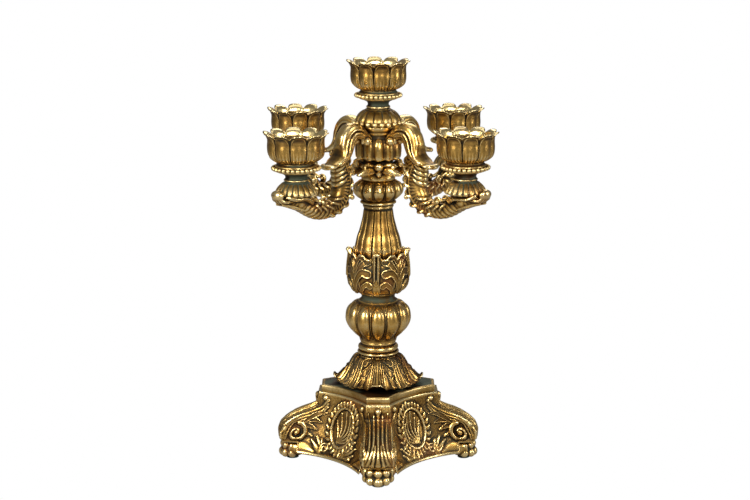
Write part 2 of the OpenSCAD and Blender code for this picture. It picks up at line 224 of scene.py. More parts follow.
def tapered(count, widest, power=0.5, sharp=1.0):
    """Half widths that rise from a rounded start and end in a rounded tip."""
    t = np.linspace(0, 1, count)
    return widest * np.maximum(np.sin(math.pi * t ** sharp), 0) ** power + 0.05


def rise_along(values, count):
    """The values spread evenly along a line of count points."""
    return np.interp(np.linspace(0, 1, count), np.linspace(0, 1, len(values)), values)


def joined(shapes):
    """Several solids as one set of points and faces."""
    verts, quads, tris, base = [], [], [], 0
    for v, q, t in shapes:
        verts.append(v)
        quads.append(q + base)
        tris.append(t + base)
        base += len(v)
    return np.vstack(verts), np.vstack(quads), np.vstack(tris)


def spun(shape, degrees):
    """The shape turned about the axis."""
    a = math.radians(degrees)
    turn = np.array([[math.cos(a), -math.sin(a), 0], [math.sin(a), math.cos(a), 0], [0, 0, 1]])
    verts, quads, tris = shape
    return verts @ turn.T, quads, tris


def moved(shapes, offset):
    return [(verts + np.asarray(offset), quads, tris) for verts, quads, tris in shapes]


def raised(points, foot):
    """An outline whose heights are given from foot, at its true heights."""
    return [(r, foot + z) for r, z in points]


def around(shape, count, start=0.0):
    return [spun(shape, start + 360 * k / count) for k in range(count)]


# ---- Blender meshes ----

def mesh_of(name, shape):
    verts, quads, tris = shape
    mesh = bpy.data.meshes.new(name)
    mesh.vertices.add(len(verts))
    mesh.vertices.foreach_set("co", (verts * MM).astype(np.float32).ravel())
    loops = np.concatenate([quads.ravel(), tris.ravel()]).astype(np.int32)
    sizes = np.concatenate([np.full(len(quads), 4), np.full(len(tris), 3)]).astype(np.int32)
    mesh.loops.add(len(loops))
    mesh.loops.foreach_set("vertex_index", loops)
    mesh.polygons.add(len(sizes))
    mesh.polygons.foreach_set("loop_start", np.concatenate([[0], np.cumsum(sizes)[:-1]]).astype(np.int32))
    mesh.update(calc_edges=True)
    mesh.validate()
    return mesh


def cast_together(mesh, voxel):
    """Fuses overlapping solids into one closed skin, then rubs it down a little."""
    obj = bpy.data.objects.new("mould", mesh)
    bpy.context.scene.collection.objects.link(obj)
    remesh = obj.modifiers.new("Remesh", "REMESH")
    remesh.mode = "VOXEL"
    remesh.voxel_size = voxel * MM
    bpy.context.view_layer.update()
    fused = bpy.data.meshes.new_from_object(obj.evaluated_get(bpy.context.evaluated_depsgraph_get()))
    bpy.data.objects.remove(obj)
    co, edges = coords(fused), edge_pairs(fused)
    count = np.bincount(edges.ravel(), minlength=len(co))[:, None]
    for _ in range(POLISH_ROUNDS):
        co = co + 0.5 * (neighbours(co, edges) / np.maximum(count, 1) - co)
    fused.vertices.foreach_set("co", co.astype(np.float32).ravel())
    fused.update()
    return fused


def coords(mesh):
    co = np.zeros(len(mesh.vertices) * 3, np.float32)
    mesh.vertices.foreach_get("co", co)
    return co.reshape(-1, 3).astype(float)


def edge_pairs(mesh):
    pairs = np.zeros(len(mesh.edges) * 2, np.int32)
    mesh.edges.foreach_get("vertices", pairs)
    return pairs.reshape(-1, 2)


def neighbours(values, edges):
    a, b = edges.T
    total = np.zeros_like(values)
    for axis in range(values.shape[1]):
        total[:, axis] = (np.bincount(a, values[b, axis], len(values))
                          + np.bincount(b, values[a, axis], len(values)))
    return total


def mark_hollows(mesh):
    """Stores how far each point stands proud (towards 1) or lies in a hollow (towards 0)."""
    co, edges = coords(mesh) / MM, edge_pairs(mesh)
    normal = np.zeros(len(co) * 3, np.float32)
    mesh.vertices.foreach_get("normal", normal)
    normal = normal.reshape(-1, 3)
    count = np.maximum(np.bincount(edges.ravel(), minlength=len(co)), 1)[:, None]
    spacing = np.linalg.norm(co[edges[:, 0]] - co[edges[:, 1]], axis=1).mean()
    value = np.full(len(co), 0.5)
    smooth, done = co, 0
    for reach, scale, weight in ((0.9, 0.12, 0.22), (2.6, 0.5, 0.30)):
        rounds = int(np.clip((reach / spacing) ** 2 * 2, 2, 90))
        while done < rounds:
            smooth = smooth + 0.7 * (neighbours(smooth, edges) / count - smooth)
            done += 1
        proud = ((co - smooth) * normal).sum(1)
        value += weight * np.tanh(proud / scale)
    # The gold materials paint the hollows dark from this value: partly dark wax, partly painted shade.
    layer = mesh.attributes.new("proud", "FLOAT", "POINT")
    layer.data.foreach_set("value", np.clip(value, 0, 1).astype(np.float32))


def show(name, mesh, material, body, node):
    """Shows a mesh as a named casting that rides on a body and stands for a CAD node."""
    mesh.polygons.foreach_set("use_smooth", np.ones(len(mesh.polygons), bool))
    mesh.materials.clear()
    mesh.materials.append(material)
    obj = bpy.data.objects.new(name, mesh)
    bpy.context.scene.collection.objects.link(obj)
    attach(obj, body)
    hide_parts(node)


def piece(name, shapes, material, body, node, voxel=None):
    """Makes one casting from its solids, fused where a voxel size is given."""
    mesh = mesh_of(name, joined(shapes))
    if voxel:
        mesh = cast_together(mesh, voxel * (1.0))
    mark_hollows(mesh)
    show(name, mesh, material, body, node)


# ---- Materials ----

class Nodes:
    """A material's node tree, written from its shader backwards."""

    def __init__(self, name):
        self.material = bpy.data.materials.new(name)
        self.material.use_nodes = True
        self.tree = self.material.node_tree
        self.shader = self.tree.nodes["Principled BSDF"]
        self.place = self.tree.nodes.new("ShaderNodeTexCoord").outputs["Object"]

    def link(self, source, target):
        if hasattr(source, "is_output"):
            self.tree.links.new(source, target)
        else:
            target.default_value = source

    def noise(self, scale, detail=3.0, roughness=0.55, stretch=(1, 1, 1)):
        mapping = self.tree.nodes.new("ShaderNodeMapping")
        mapping.inputs["Scale"].default_value = stretch
        self.link(self.place, mapping.inputs["Vector"])
        noise = self.tree.nodes.new("ShaderNodeTexNoise")
        noise.inputs["Scale"].default_value = scale
        noise.inputs["Detail"].default_value = detail
        noise.inputs["Roughness"].default_value = roughness
        self.link(mapping.outputs[0], noise.inputs["Vector"])
        return noise.outputs["Fac"]

    def math(self, kind, a, b=0.5, clamp=False):
        node = self.tree.nodes.new("ShaderNodeMath")
        node.operation = kind
        node.use_clamp = clamp
        self.link(a, node.inputs[0])
        self.link(b, node.inputs[1])
        return node.outputs[0]

    def fit(self, value, low, high, to_low=0.0, to_high=1.0):
        node = self.tree.nodes.new("ShaderNodeMapRange")
        node.interpolation_type = "SMOOTHSTEP"
        for socket, v in zip(("From Min", "From Max", "To Min", "To Max"), (low, high, to_low, to_high)):
            node.inputs[socket].default_value = v
        self.link(value, node.inputs["Value"])
        return node.outputs["Result"]

    def ramp(self, value, stops):
        node = self.tree.nodes.new("ShaderNodeValToRGB")
        elements = node.color_ramp.elements
        while len(elements) < len(stops):
            elements.new(0.5)
        for element, (at, color) in zip(elements, stops):
            element.position = at
            element.color = (*color, 1)
        self.link(value, node.inputs["Fac"])
        return node.outputs["Color"]

    def mix(self, factor, a, b, blend="MIX"):
        node = self.tree.nodes.new("ShaderNodeMix")
        node.data_type = "RGBA"
        node.blend_type = blend
        self.link(factor, node.inputs["Factor"])
        self.link(a if hasattr(a, "is_output") else (*a, 1), node.inputs["A"])
        self.link(b if hasattr(b, "is_output") else (*b, 1), node.inputs["B"])
        return node.outputs["Result"]

    def proud(self):
        node = self.tree.nodes.new("ShaderNodeAttribute")
        node.attribute_name = "proud"
        return node.outputs["Fac"]

    def hidden(self, reach):
        """How much of the sky a place can't see within the reach, 0 to 1."""
        node = self.tree.nodes.new("ShaderNodeAmbientOcclusion")
        node.samples = 6
        node.inputs["Distance"].default_value = reach * MM
        return self.math("SUBTRACT", 1.0, node.outputs["AO"])

    def bumped(self, height, strength, distance):
        node = self.tree.nodes.new("ShaderNodeBump")
        node.inputs["Strength"].default_value = strength
        node.inputs["Distance"].default_value = distance * MM
        self.link(height, node.inputs["Height"])
        self.link(node.outputs["Normal"], self.shader.inputs["Normal"])


def antique_gold(name, bright=1.0, patina=0.35, warm=0.3, polish=0.26, painted_shade=0.0):
    """Cast brass: hollows darkened partly as dark wax and partly as painted shade, from the proud attribute
    and an occlusion term, gilt on the high places, patina and copper blushes.
    """
    nodes = Nodes(name)

    def times(a, b, clamp=False):
        return nodes.math("MULTIPLY", a, b, clamp)

    def speckle(value, middle, strength):
        return times(nodes.math("SUBTRACT", value, middle), strength)

    proud = nodes.proud()
    broad = nodes.noise(42, 4)
    fine = nodes.noise(520, 3)
    # Painted shade: the last argument shifts the broad noise down, which darkens the whole casting for pieces
    # that stand in shadow.
    wear_and_shade = nodes.math("ADD", proud, speckle(broad, 0.5 + painted_shade, 0.55))
    wear_and_shade = nodes.math("ADD", wear_and_shade, speckle(fine, 0.5, 0.22))
    # Painted shade: darker where the occlusion term finds other surfaces close by, in creases and between
    # pieces.
    wear_and_shade = nodes.math("SUBTRACT", wear_and_shade, times(nodes.hidden(5.0), 0.55), clamp=True)
    # The dark stops colour the low values: partly dark wax, partly painted shade.
    gold = nodes.ramp(wear_and_shade, [(0.08, (0.022, 0.014, 0.008)),
                             (0.28, (0.085, 0.046, 0.017)),
                             (0.47, (0.30 * bright, 0.165 * bright, 0.040 * bright)),
                             (0.66, (0.66 * bright, 0.40 * bright, 0.105 * bright)),
                             (0.90, (0.98, 0.76, 0.36))])
    blush = nodes.fit(nodes.noise(27, 2), 0.56, 0.70, 0.0, warm)
    gold = nodes.mix(blush, gold, (0.48, 0.185, 0.06))
    green = times(nodes.fit(nodes.noise(33, 3), 0.44, 0.62), nodes.fit(wear_and_shade, 0.62, 0.30, 0.10, 1.0))
    green = times(green, patina, clamp=True)
    colour = nodes.mix(green, gold, (0.060, 0.072, 0.045))
    metal = nodes.math("SUBTRACT", 1.0, times(green, 0.5))
    rough = nodes.math("ADD", nodes.fit(wear_and_shade, 0.15, 0.8, 0.5, polish), times(green, 0.2), clamp=True)
    nodes.link(colour, nodes.shader.inputs["Base Color"])
    nodes.link(metal, nodes.shader.inputs["Metallic"])
    nodes.link(rough, nodes.shader.inputs["Roughness"])
    grain = nodes.math("ADD", nodes.noise(900, 2), times(nodes.noise(210, 2), 2.2))
    nodes.bumped(grain, 0.32, 0.22)
    return nodes.material


# The last argument is painted shade: a little on the plain gold and more on the hub's copy, whose lowered
# brightness also paints the shade the hub sits in.
GOLD = antique_gold("antique gold", painted_shade=0.03)
GOLD_CUP = antique_gold("gilt cup", bright=1.05, patina=0.25, polish=0.24)
GOLD_BASE = antique_gold("base gold", bright=1.0, patina=0.3, painted_shade=0.0)
SHADED_HUB_GOLD = antique_gold("shaded hub gold", bright=0.9, patina=0.4, painted_shade=0.08)
GREEN_GOLD = antique_gold("patinated brass", bright=0.6, patina=1.5, warm=0.2, polish=0.34, painted_shade=0.12)


def plain_metal(name, colour, rough):
    """Turned metal with faint streaks up and down it."""
    nodes = Nodes(name)
    dull = tuple(0.7 * c for c in colour)
    nodes.link(nodes.mix(nodes.noise(60, 4), dull, colour), nodes.shader.inputs["Base Color"])
    nodes.shader.inputs["Metallic"].default_value = 1.0
    streaks = nodes.noise(260, 3, stretch=(1, 1, 0.2))
    nodes.link(nodes.fit(streaks, 0.2, 0.8, rough - 0.08, rough + 0.12), nodes.shader.inputs["Roughness"])
    nodes.bumped(nodes.noise(700, 2), 0.2, 0.05)
    return nodes.material


def felt_cloth(name):
    nodes = Nodes(name)
    colour = nodes.mix(nodes.noise(900, 5), (0.02, 0.06, 0.035), (0.06, 0.15, 0.085))
    nodes.link(colour, nodes.shader.inputs["Base Color"])
    nodes.shader.inputs["Roughness"].default_value = 0.95
    nodes.shader.inputs["Sheen Weight"].default_value = 0.4
    nodes.bumped(nodes.noise(1500, 3), 0.6, 0.3)
    return nodes.material


STEEL = plain_metal("fastener steel", (0.56, 0.57, 0.58), 0.34)
SOCKET = plain_metal("socket brass", (0.58, 0.42, 0.19), 0.3)
FELT = felt_cloth("green felt")


# ---- Turned and gadrooned parts of the stem ----

def gadroons(phase, low, high, rise, fillet):
    """A relief of egg-shaped lobes between two heights, with a thin fillet between each two."""
    def relief(theta, z):
        u = np.abs(wrap(theta, LOBES, phase))
        v = np.abs((z - (low + high) / 2) / ((high - low) / 2))
        lobe = rise * np.clip(1 - (u / 0.88) ** 2.2 - v ** 2.8, 0, 1) ** 0.75
        moat = -0.5 * bump(u - 0.9, 0.05) * (v < 1)
        rib = fillet * bump(u - 1, 0.06) * np.clip(1 - v ** 4, 0, 1)
        return lobe + moat + rib

    return relief


def flutes(count, phase, low, high, rise):
    """A relief of rounded ribs that fade out at two heights."""
    def relief(theta, z):
        u = np.abs(wrap(theta, count, phase))
        fade = step(z, low, low + 1.2) * step(z, high, high - 1.2)
        return fade * rise * (np.sqrt(np.clip(1 - u ** 2.2, 0, 1)) - 0.75)

    return relief


def knop():
    z0 = KNOP_FOOT
    line = flow([(15, z0), (18, z0), (18, z0), (19, z0 + 3.4), (21.2, z0 + 7.7), (25.8, z0 + 13.8),
                 (28.8, z0 + 20), (29.3, z0 + 25), (28.2, z0 + 32.2), (24.4, z0 + 37.4), (20.4, z0 + 39.8),
                 (19.4, z0 + 41), (18.4, KNOP_TOP), (12, KNOP_TOP)], 80)
    return [turned(line, 360, gadroons(FRONT, z0 + 4, z0 + 39.2, 3.1, 0.8))]


def reeded_column():
    z0 = CALYX_FOOT + 3
    line = flow([(12, z0), (17, z0), (19.5, z0 + 20), (22.6, z0 + 38), (22.9, z0 + 42), (21.9, z0 + 47),
                 (20.6, z0 + 53), (18.5, z0 + 59), (16.8, z0 + 65.2), (15.3, z0 + 71.2), (14.4, z0 + 77),
                 (14.1, z0 + 81), (15.2, COLUMN_TOP), (10, COLUMN_TOP)], 68)

    def reeds(theta, z):
        u = np.abs(wrap(theta, REEDS, STEM_FRONT))
        fade = step(z, COLUMN_TOP - 2.5, COLUMN_TOP - 5)
        reed = 0.8 * np.sqrt(np.clip(1 - (u / 0.92) ** 2.6, 0, 1)) - 1.1 * bump(u - 1, 0.10)
        return fade * (reed - 0.35) - 0.2 * (1 - fade)

    return [turned(line, 364, reeds)]


def ring_stack(points, rows=56, cols=128):
    return [turned(flow(points, rows), cols)]


def moulded_ring():
    z = SKIRT_TOP
    return ring_stack([(14, z), (19, z), (20.4, z + 0.7), (20.4, z + 2.3), (18.2, z + 3.4), (18.2, z + 3.6),
                       (19.5, z + 4.9), (19.9, z + 6.4), (19.3, z + 8.2), (17, z + 9.5), (16.6, z + 10),
                       (17.3, z + 11), (17.2, z + 12.4), (16.2, z + 13), (10, z + 13)], 80)


def knop_collar():
    z = KNOP_TOP
    return ring_stack([(12, z), (18.4, z), (18.4, z), (17.6, z + 0.8), (16.6, z + 2.2), (16.4, z + 3.8),
                       (16.8, z + 5.2), (17.8, z + 6.6), (18.2, z + 7.5), (12, z + 7.5)])


def column_cap():
    z = COLUMN_TOP
    return ring_stack([(9.4, z), (14.7, z), (14.9, z + 0.6), (14.5, z + 1.5), (15, z + 1.9),
                       (17.3, z + 2.6), (17.6, z + 3.5), (17.2, z + 4.3), (15.6, CAP_TOP), (9.4, CAP_TOP)])


def hub_bulb():
    z = BULB_FOOT
    line = flow([(10, z), (16.2, z), (16.2, z), (17.2, z + 1), (19.8, z + 4.6), (22, z + 8),
                 (22.4, z + 11), (21, z + 15), (17.4, z + 18.4), (15, HUB_FOOT), (10, HUB_FOOT)], 60)
    return [turned(line, 300, gadroons(HUB_FRONT, z + 1, z + 19.4, 2.3, 0.8))]


# ---- One light, with its bead ring at height 0 ----

def flower_cup():
    """Ten petals: the section goes from a petal's middle line to the line between two petals."""
    foot = [(14, CUP_FLOOR), (16.7, CUP_FLOOR), (16.7, CUP_FLOOR)]
    floor_in = [(15, 7.8), (6, 7.4)]
    out_petal = [(19.2, 6.6), (21.6, 8.6), (23.9, 11.7), (24.9, 15.4), (25.1, 20), (24.8, 24.4),
                 (25.1, 27.4), (26.4, 30), (28.6, 31.9), (31.1, 32.9)]
    in_petal = [(31.1, 33.7), (29, 33.5), (26.2, 31.9), (24.6, 29.2), (23.6, 25), (23.4, 20),
                (22.4, 13.4), (19.6, 9.8)]
    out_valley = [(19, 6.7), (21.2, 8.8), (23.4, 11.9), (24.3, 15.6), (24.5, 20), (24.2, 23.6),
                  (24.1, 25.6), (24.3, 27.2), (24.8, 28.4), (25.3, 28.9)]
    in_valley = [(24.9, 29.4), (24.3, 29.2), (23.7, 28), (23.4, 26.4), (23.2, 23.6), (23, 19.5),
                 (22, 13.2), (19.4, 9.8)]
    outside, inside = 50, 18
    petal = np.vstack([flow(foot + out_petal, outside), flow(in_petal + floor_in, inside)])
    valley = np.vstack([flow(foot + out_valley, outside), flow(in_valley + floor_in, inside)])

    def weight(theta):
        u = np.abs(wrap(theta, PETALS, PETAL_TURN))
        return np.maximum(np.sqrt(np.clip(1 - (u / 0.9) ** 2.6, 0, 1)), 0.3 * bump(u - 1, 0.08))

    def petals(theta, z):
        u = np.abs(wrap(theta, PETALS, PETAL_TURN))
        outer = (np.arange(len(z)) < outside - 4)[:, None] * step(z, 5.6, 7.5)
        arch = np.sqrt(np.clip(1 - np.clip((z - 21) / 12.2, 0, 1) ** 2.2, 0.0, 1))
        depth = (0.95 * arch - u) * 8
        swell = 1.7 * np.clip(1 - u * u, 0, 1) * step(z, 33, 26) * step(z, 6, 13)
        body = 0.5 * step(depth, -0.2, 0.5) + swell
        edge = 0.35 * bump(depth - 0.35, 0.4) * step(z, 9, 15)
        crease = -0.9 * bump(u - 1, 0.07) * step(z, 27, 20)
        comb = 0.5 + 0.5 * np.cos(u * math.pi * 5 + 0.6 * np.sin(theta * 7))
        veins = -0.5 * comb * step(z, 21, 8) * (depth > 0.5)
        return outer * (body + edge + crease + veins)

    return [lofted(mixed(petal, valley, weight), 360, petals)]


def bead_row(count, radius, bead, height):
    return around(ball((radius, 0, height), bead, cols=12), count)


def drip_pan(footed):
    """The beaded pan with its neck; the outer four stand on a flaring fluted bell."""
    collar = [(10.6, -12.2), (11.8, -11.6), (11.6, -10.8), (10.4, -9.6), (10.2, -8.4), (11.2, -6.2),
              (15.2, -4.3), (18.6, -3.2), (19.6, -2), (19.2, 0), (19.4, 1.4), (19.6, 2.2), (18.4, 3.4),
              (17.2, 4.6), (17, 5.4), (10, 5.4)]
    if footed:
        foot = [(9, -PAN_FOOT), (17, -PAN_FOOT), (17, -PAN_FOOT), (18.8, -24.5), (19.4, -23.2),
                (18.7, -20.8), (17, -18), (14.6, -15.6), (12.4, -13.8), (11.2, -13)]
    else:
        foot = [(9, -13.2), (11.2, -13.2)]
    line = flow(foot + collar, 72 if footed else 48)
    ribs = flutes(PAN_RIBS, 0.0, -24.4, -13.4, 1.5)

    def bell(theta, z):
        return ribs(theta, z) + 0.5 * np.cos(wrap(theta, PAN_RIBS) * math.pi) * bump(z + 23.4, 1.6)

    return [turned(line, 200, bell if footed else None)] + bead_row(PAN_BEADS, 21.5, 2.0, 0)


def candle_socket():
    return ring_stack([(6, 7.4), (13.2, 7.4), (13.2, 7.4), (13.2, 8.8), (12.8, 9.4), (12.8, 26.6),
                       (13.6, 27.4), (13.6, 28.1), (11.7, 28.2), (11.6, 28.2), (11.5, 27.8), (11.5, 10.3),
                       (11.4, 10.2), (5, 10.2)], 60, 48)


# ---- Hub, dome and its beads ----

def beaded_dome():
    z = DOME_TOP
    line = flow([(8, z - 14.6), (20, z - 14.6), (21.6, z - 14.2), (22.2, z - 12), (21.8, z - 9.8),
                 (20.6, z - 7.4), (18.4, z - 4.6), (15, z - 2), (12.8, z - 0.8), (12.4, z), (8, z)], 44)
    ribs = flutes(DOME_RIBS, FRONT, z - 12.4, z - 1.0, 1.7)
    return [turned(line, 308, ribs)] + bead_row(DOME_BEADS, 23.8, 2.4, z - 13)


def hub_body():
    z = HUB_FOOT
    line = flow([(8, z), (15, z), (16.6, z + 2.4), (16, z + 7), (15, z + 13), (14.4, z + 18),
                 (14.8, z + 21.4), (18.6, z + 22.2), (20.4, z + 23), (20.8, z + 26), (21, z + 32),
                 (20.4, z + 37), (18.8, z + 41), (17.4, z + 42.6), (17.3, z + 44), (17.3, z + 46),
                 (18, z + 46.8), (18, z + 48.4), (17.6, z + 49.2), (18.4, z + 50.4), (18.4, z + 54.4),
                 (8, z + 54.4)], 120)
    lobes = gadroons(HUB_FRONT, z + 17, z + 44, 1.7, 0.9)

    def melon(theta, height):
        return lobes(theta, height) * (height > z + 21)

    bracket = moved(leaf_bracket(), (0, 0, z))
    turns = [direction + BRANCH_TURN for direction in FEET.values()]
    return [turned(line, 360, melon)] + [spun(shape, turn) for turn in turns for shape in bracket]


def leaf_bracket():
    """Two pairs of leaves that spread from a boss on the hub, with its foot at height 0."""
    shapes = [ball((19.6, 0, 15.6), 4.4, (0.9, 1, 0.9), 22), ball((18.2, 0, 9.4), 2.8, (0.9, 0.9, 1.5), 16)]
    t = np.linspace(0, 1, 22)
    for hand in (-1, 1):
        angle = hand * np.radians(12 + 28 * t ** 0.8)
        for end, low, high, wide, thick in ((34, 11.4, 8.6, 4.0, 2.8), (28, 14.8, 16.4, 2.6, 2.2)):
            r = 16 + (end - 16) * t
            lift = low + (high - low) * t + 1.4 * np.sin(t * math.pi)
            spine = np.stack([r * np.cos(angle), r * np.sin(angle), lift], -1)
            shapes.append(swept(spine, (0, 0, 1), tapered(22, wide, 0.6, 0.8), thick, 18))
        shapes.append(ball((22, 13.6 * hand, 15.8), 2.4, cols=14))
    return shapes


# ---- Ornament drawn on a patch with flat coordinates ----

class Relief:
    """Heights over a patch, drawn with strokes; a and b are the patch's flat coordinates in millimetres."""

    JOINTS = 21

    def __init__(self, a, b):
        self.at = np.stack(np.broadcast_arrays(a, b), -1)
        self.height = np.zeros(self.at.shape[:2])

    def near(self, line, widths):
        """Distance to a stroke in half widths, and how far along it the nearest place is, 0 to 1."""
        line = flow(line, self.JOINTS + 1)
        wide = rise_along(widths, self.JOINTS + 1)
        best = np.full(self.height.shape, 9.0)
        along = np.zeros(self.height.shape)
        for k in range(self.JOINTS):
            d = line[k + 1] - line[k]
            t = np.clip(((self.at - line[k]) @ d) / max(d @ d, 1e-9), 0, 1)
            far = np.linalg.norm(self.at - line[k] - t[..., None] * d, axis=-1)
            q = far / (wide[k] + (wide[k + 1] - wide[k]) * t)
            along = np.where(q < best, (k + t) / self.JOINTS, along)
            best = np.minimum(best, q)
        return best, along

    def ridge(self, line, widths, rise, floor=0.0):
        """A rounded ridge, kept where it stands higher than what is there."""
        q, _ = self.near(line, widths)
        crest = floor + rise * np.sqrt(np.clip(1 - q * q, 0, 1))
        self.height = np.where(q < 1, np.maximum(self.height, crest), self.height)

    def spoon(self, line, widths, rise, rim):
        """A dished lobe with a raised rim; it covers what lies beneath it."""
        q, along = self.near(line, widths)
        dish = rise * (0.3 + 0.35 * (1 - along))
        edge = rim * bump(q - 0.86, 0.14)
        drop = step(q, 1.12, 0.96)
        self.height = np.where(q < 1.12, self.height * (1 - drop) + drop * (dish + edge), self.height)

    def dot(self, a, b, radius, rise):
        self.ridge([(a, b), (a + 0.01, b)], [radius, radius], rise)


# ---- The base ----

# How far out the legs' flats and the faces' middles stand, and the flats' half width, by height
CORNER_LINE = [(92, BASE_FOOT), (95.3, 20), (97, 24), (97.4, 30), (96.5, 33), (95, 36), (92, 39), (88, 42),
               (82.5, 45.5), (75.5, 48.7), (66.5, 52), (61, 55), (58.6, 58), (59.4, 62), (59.8, 66),
               (58.5, BASE_TOP)]
FACE_LINE = [(60.5, BASE_FOOT), (55.5, 16), (50.5, 25), (46, 40), (44, 50), (43, 60), (43.5, BASE_TOP)]
HALF_LINE = [(14.5, BASE_FOOT), (14, 30), (13, 45), (12, 55), (11.5, BASE_TOP)]
BEND_TOP = 32                       # the lower edge's rise over the paws dies out at this height
CEILING = 66                        # the hollow under the base


def at_height(line, z):
    return np.interp(z, [p[1] for p in line], [p[0] for p in line])


def from_corner(theta):
    """Angle from the nearest leg, -45 to 45 degrees, in radians."""
    return (theta + math.pi / 4) % (math.pi / 2) - math.pi / 4


def cornered(theta, corner, side, half):
    """Radius of a four-cornered outline: a flat across each corner, a hollow arc between them."""
    off = np.abs(from_corner(theta))
    u = (corner + half) / math.sqrt(2)
    v = (corner - half) / math.sqrt(2)
    far = (u * u + v * v - side * side) / (2 * (u - side))
    b = math.pi / 4 - off
    hollow = far * np.cos(b) - np.sqrt(np.maximum((far - side) ** 2 - (far * np.sin(b)) ** 2, 0))
    return np.where(off < np.arctan2(half, corner), corner / np.cos(off), hollow)


def base_radius(theta, z, wall=0.0):
    """Radius of the base casting by height, or of its inside where a wall is given."""
    return cornered(theta, at_height(CORNER_LINE, z) - wall, at_height(FACE_LINE, z) - wall,
                    at_height(HALF_LINE, z) - wall * 0.8)


def spread_angles(count, height):
    """Angles that divide the base outline at that height into equal lengths, from corner to corner."""
    t = np.linspace(0, TAU, 7200)
    r = base_radius(t, height)
    length = np.concatenate([[0], np.cumsum(np.hypot(np.diff(r * np.cos(t)), np.diff(r * np.sin(t))))])
    return np.interp(np.linspace(0, length[-1], count, endpoint=False), length, t)


def face_ornament(s, z, ground):
    """One face of the base: s runs from its middle, towards the front or back leg where positive."""
    art = Relief(s, z)
    art.height += ground
    tilt = math.radians(12)
    tall, wide = 20.4, 15.0
    turn = np.linspace(0, TAU, 33)

    def on_oval(t, grow=1.0):
        a, b = wide * grow * math.sin(t), tall * grow * math.cos(t)
        return np.array([-0.4 + a * math.cos(tilt) + b * math.sin(tilt),
                         40.4 + b * math.cos(tilt) - a * math.sin(tilt)])

    rim = [on_oval(t) for t in turn]
    for t in np.linspace(0, TAU, 26, endpoint=False) + 0.1:
        root, out = on_oval(t, 1.07), unit(on_oval(t, 1.3) - on_oval(t))
        up = np.array([0.0, 1.0]) - out * out[1]
        far = 1.0 if math.sin(t) > 0 else 0.7
        tip = root + 7.4 * far * out + 3.4 * up
        art.ridge([root, root + 3.8 * far * out - 0.8 * up, tip], [2.2, 2.3, 0.5], 2.2)
    inside, _ = art.near([on_oval(0, 0.4), on_oval(0, 0.0), on_oval(math.pi, 0.4)], [12.0, 14.0, 12.0])
    art.height = np.where(inside < 1, 0.3 + 1.3 * np.sqrt(np.clip(1 - inside ** 2, 0, 1)), art.height)
    root = on_oval(math.pi * 1.05, 0.84)
    for t, reach in ((-1.3, 0.72), (-0.66, 0.8), (-0.12, 0.84), (0.42, 0.82), (1.0, 0.76), (1.75, 0.66)):
        tip = on_oval(t, reach)
        side = tip[0] - root[0]
        bend = (root + tip) / 2 + np.array([side * 0.22 + 2.2, -2.4])
        art.ridge([root, bend, tip], [0.8, 1.3, 0.5], 1.6, floor=1.0)
    art.ridge(rim, [1.6, 1.6], 2.3, floor=0.7)
    for hand in (-1, 1):
        art.dot(hand * 26.4, 66, 3.0, 2.6)
    palmette(art, (-18.5, 17.6), [(-36, 24), (-31.5, 18), (-27, 14.6), (-25, 25.5), (-31, 28)], 1)
    palmette(art, (3.0, 15.2), [(23, 25.6), (23.4, 19.6), (17.5, 27), (19, 14.8), (11, 12.6)], -1)
    leg_flank(art)
    return art.height


def palmette(art, curl, tips, hand):
    """A small spray of blades that leave a curl."""
    curl = np.array(curl)
    for tip in tips:
        tip = np.array(tip, float)
        bend = (curl + tip) / 2 + np.array([0, -3.2])
        art.ridge([curl + (-2 * hand, -1), bend, tip], [1.0, 1.9, 0.8], 1.9)
    spin = np.linspace(0, 1.6 * TAU, 22)
    ring = [(curl[0] + hand * (1.0 + 0.42 * t) * math.cos(t), curl[1] + (1.0 + 0.42 * t) * math.sin(t))
            for t in spin]
    art.ridge(ring, [1.0, 1.2], 2.2)


def volute(art, centre, radius, turns, start, hand, width, rise):
    """A flat spiral that opens outwards from its eye."""
    t = np.linspace(0.12, 1, 40)
    angle = start + hand * TAU * turns * (1 - t)
    line = np.stack([centre[0] + radius * t ** 0.8 * np.cos(angle),
                     centre[1] + radius * t ** 0.8 * np.sin(angle)], -1)
    for k in range(0, 36, 6):
        art.ridge(line[k:k + 8], [width * (0.5 + 0.5 * k / 36)] * 2, rise)
    art.dot(centre[0], centre[1], width * 1.1, rise * 1.15)


def leg_flank(art):
    """The side leg's flank: a volute at its outer end, bands over its shoulder, leaves beside it."""
    for hand in (-1, 1):
        side = np.array([hand, 1])
        art.ridge(side * [(30, 12), (40, 15), (52, 16), (64, 17)], [2.5, 5.4, 6.4, 5.5], 1.4)
        for lift, width in ((0.0, 1.9), (4.0, 1.5), (7.2, 1.0)):
            band = [(66 - lift * 0.5, 22), (68 - lift, 31), (64.5 - lift, 39.6),
                    (55 - lift * 0.5, 46 - lift * 0.6), (42, 50.5 - lift * 0.8), (30, 56 - lift),
                    (23.5, 64 - lift)]
            art.ridge(side * band, [width * 1.3, width, width, width], 1.8)
        for bend, tip, wide in (((38, 44.0), (28.0, 41.0), 3.4), ((34, 49), (23.4, 51), 2.8),
                                ((40, 37), (32, 33.5), 2.4), ((43, 31), (36, 27), 1.9)):
            art.spoon(side * [(48, 40), bend, tip], [1.2, wide, 0.7], 2.6, 1.0)
        volute(art, (hand * 52.0, 30), 10.4, 1.4, math.pi * 0.6, hand, 2.9, 3.2)


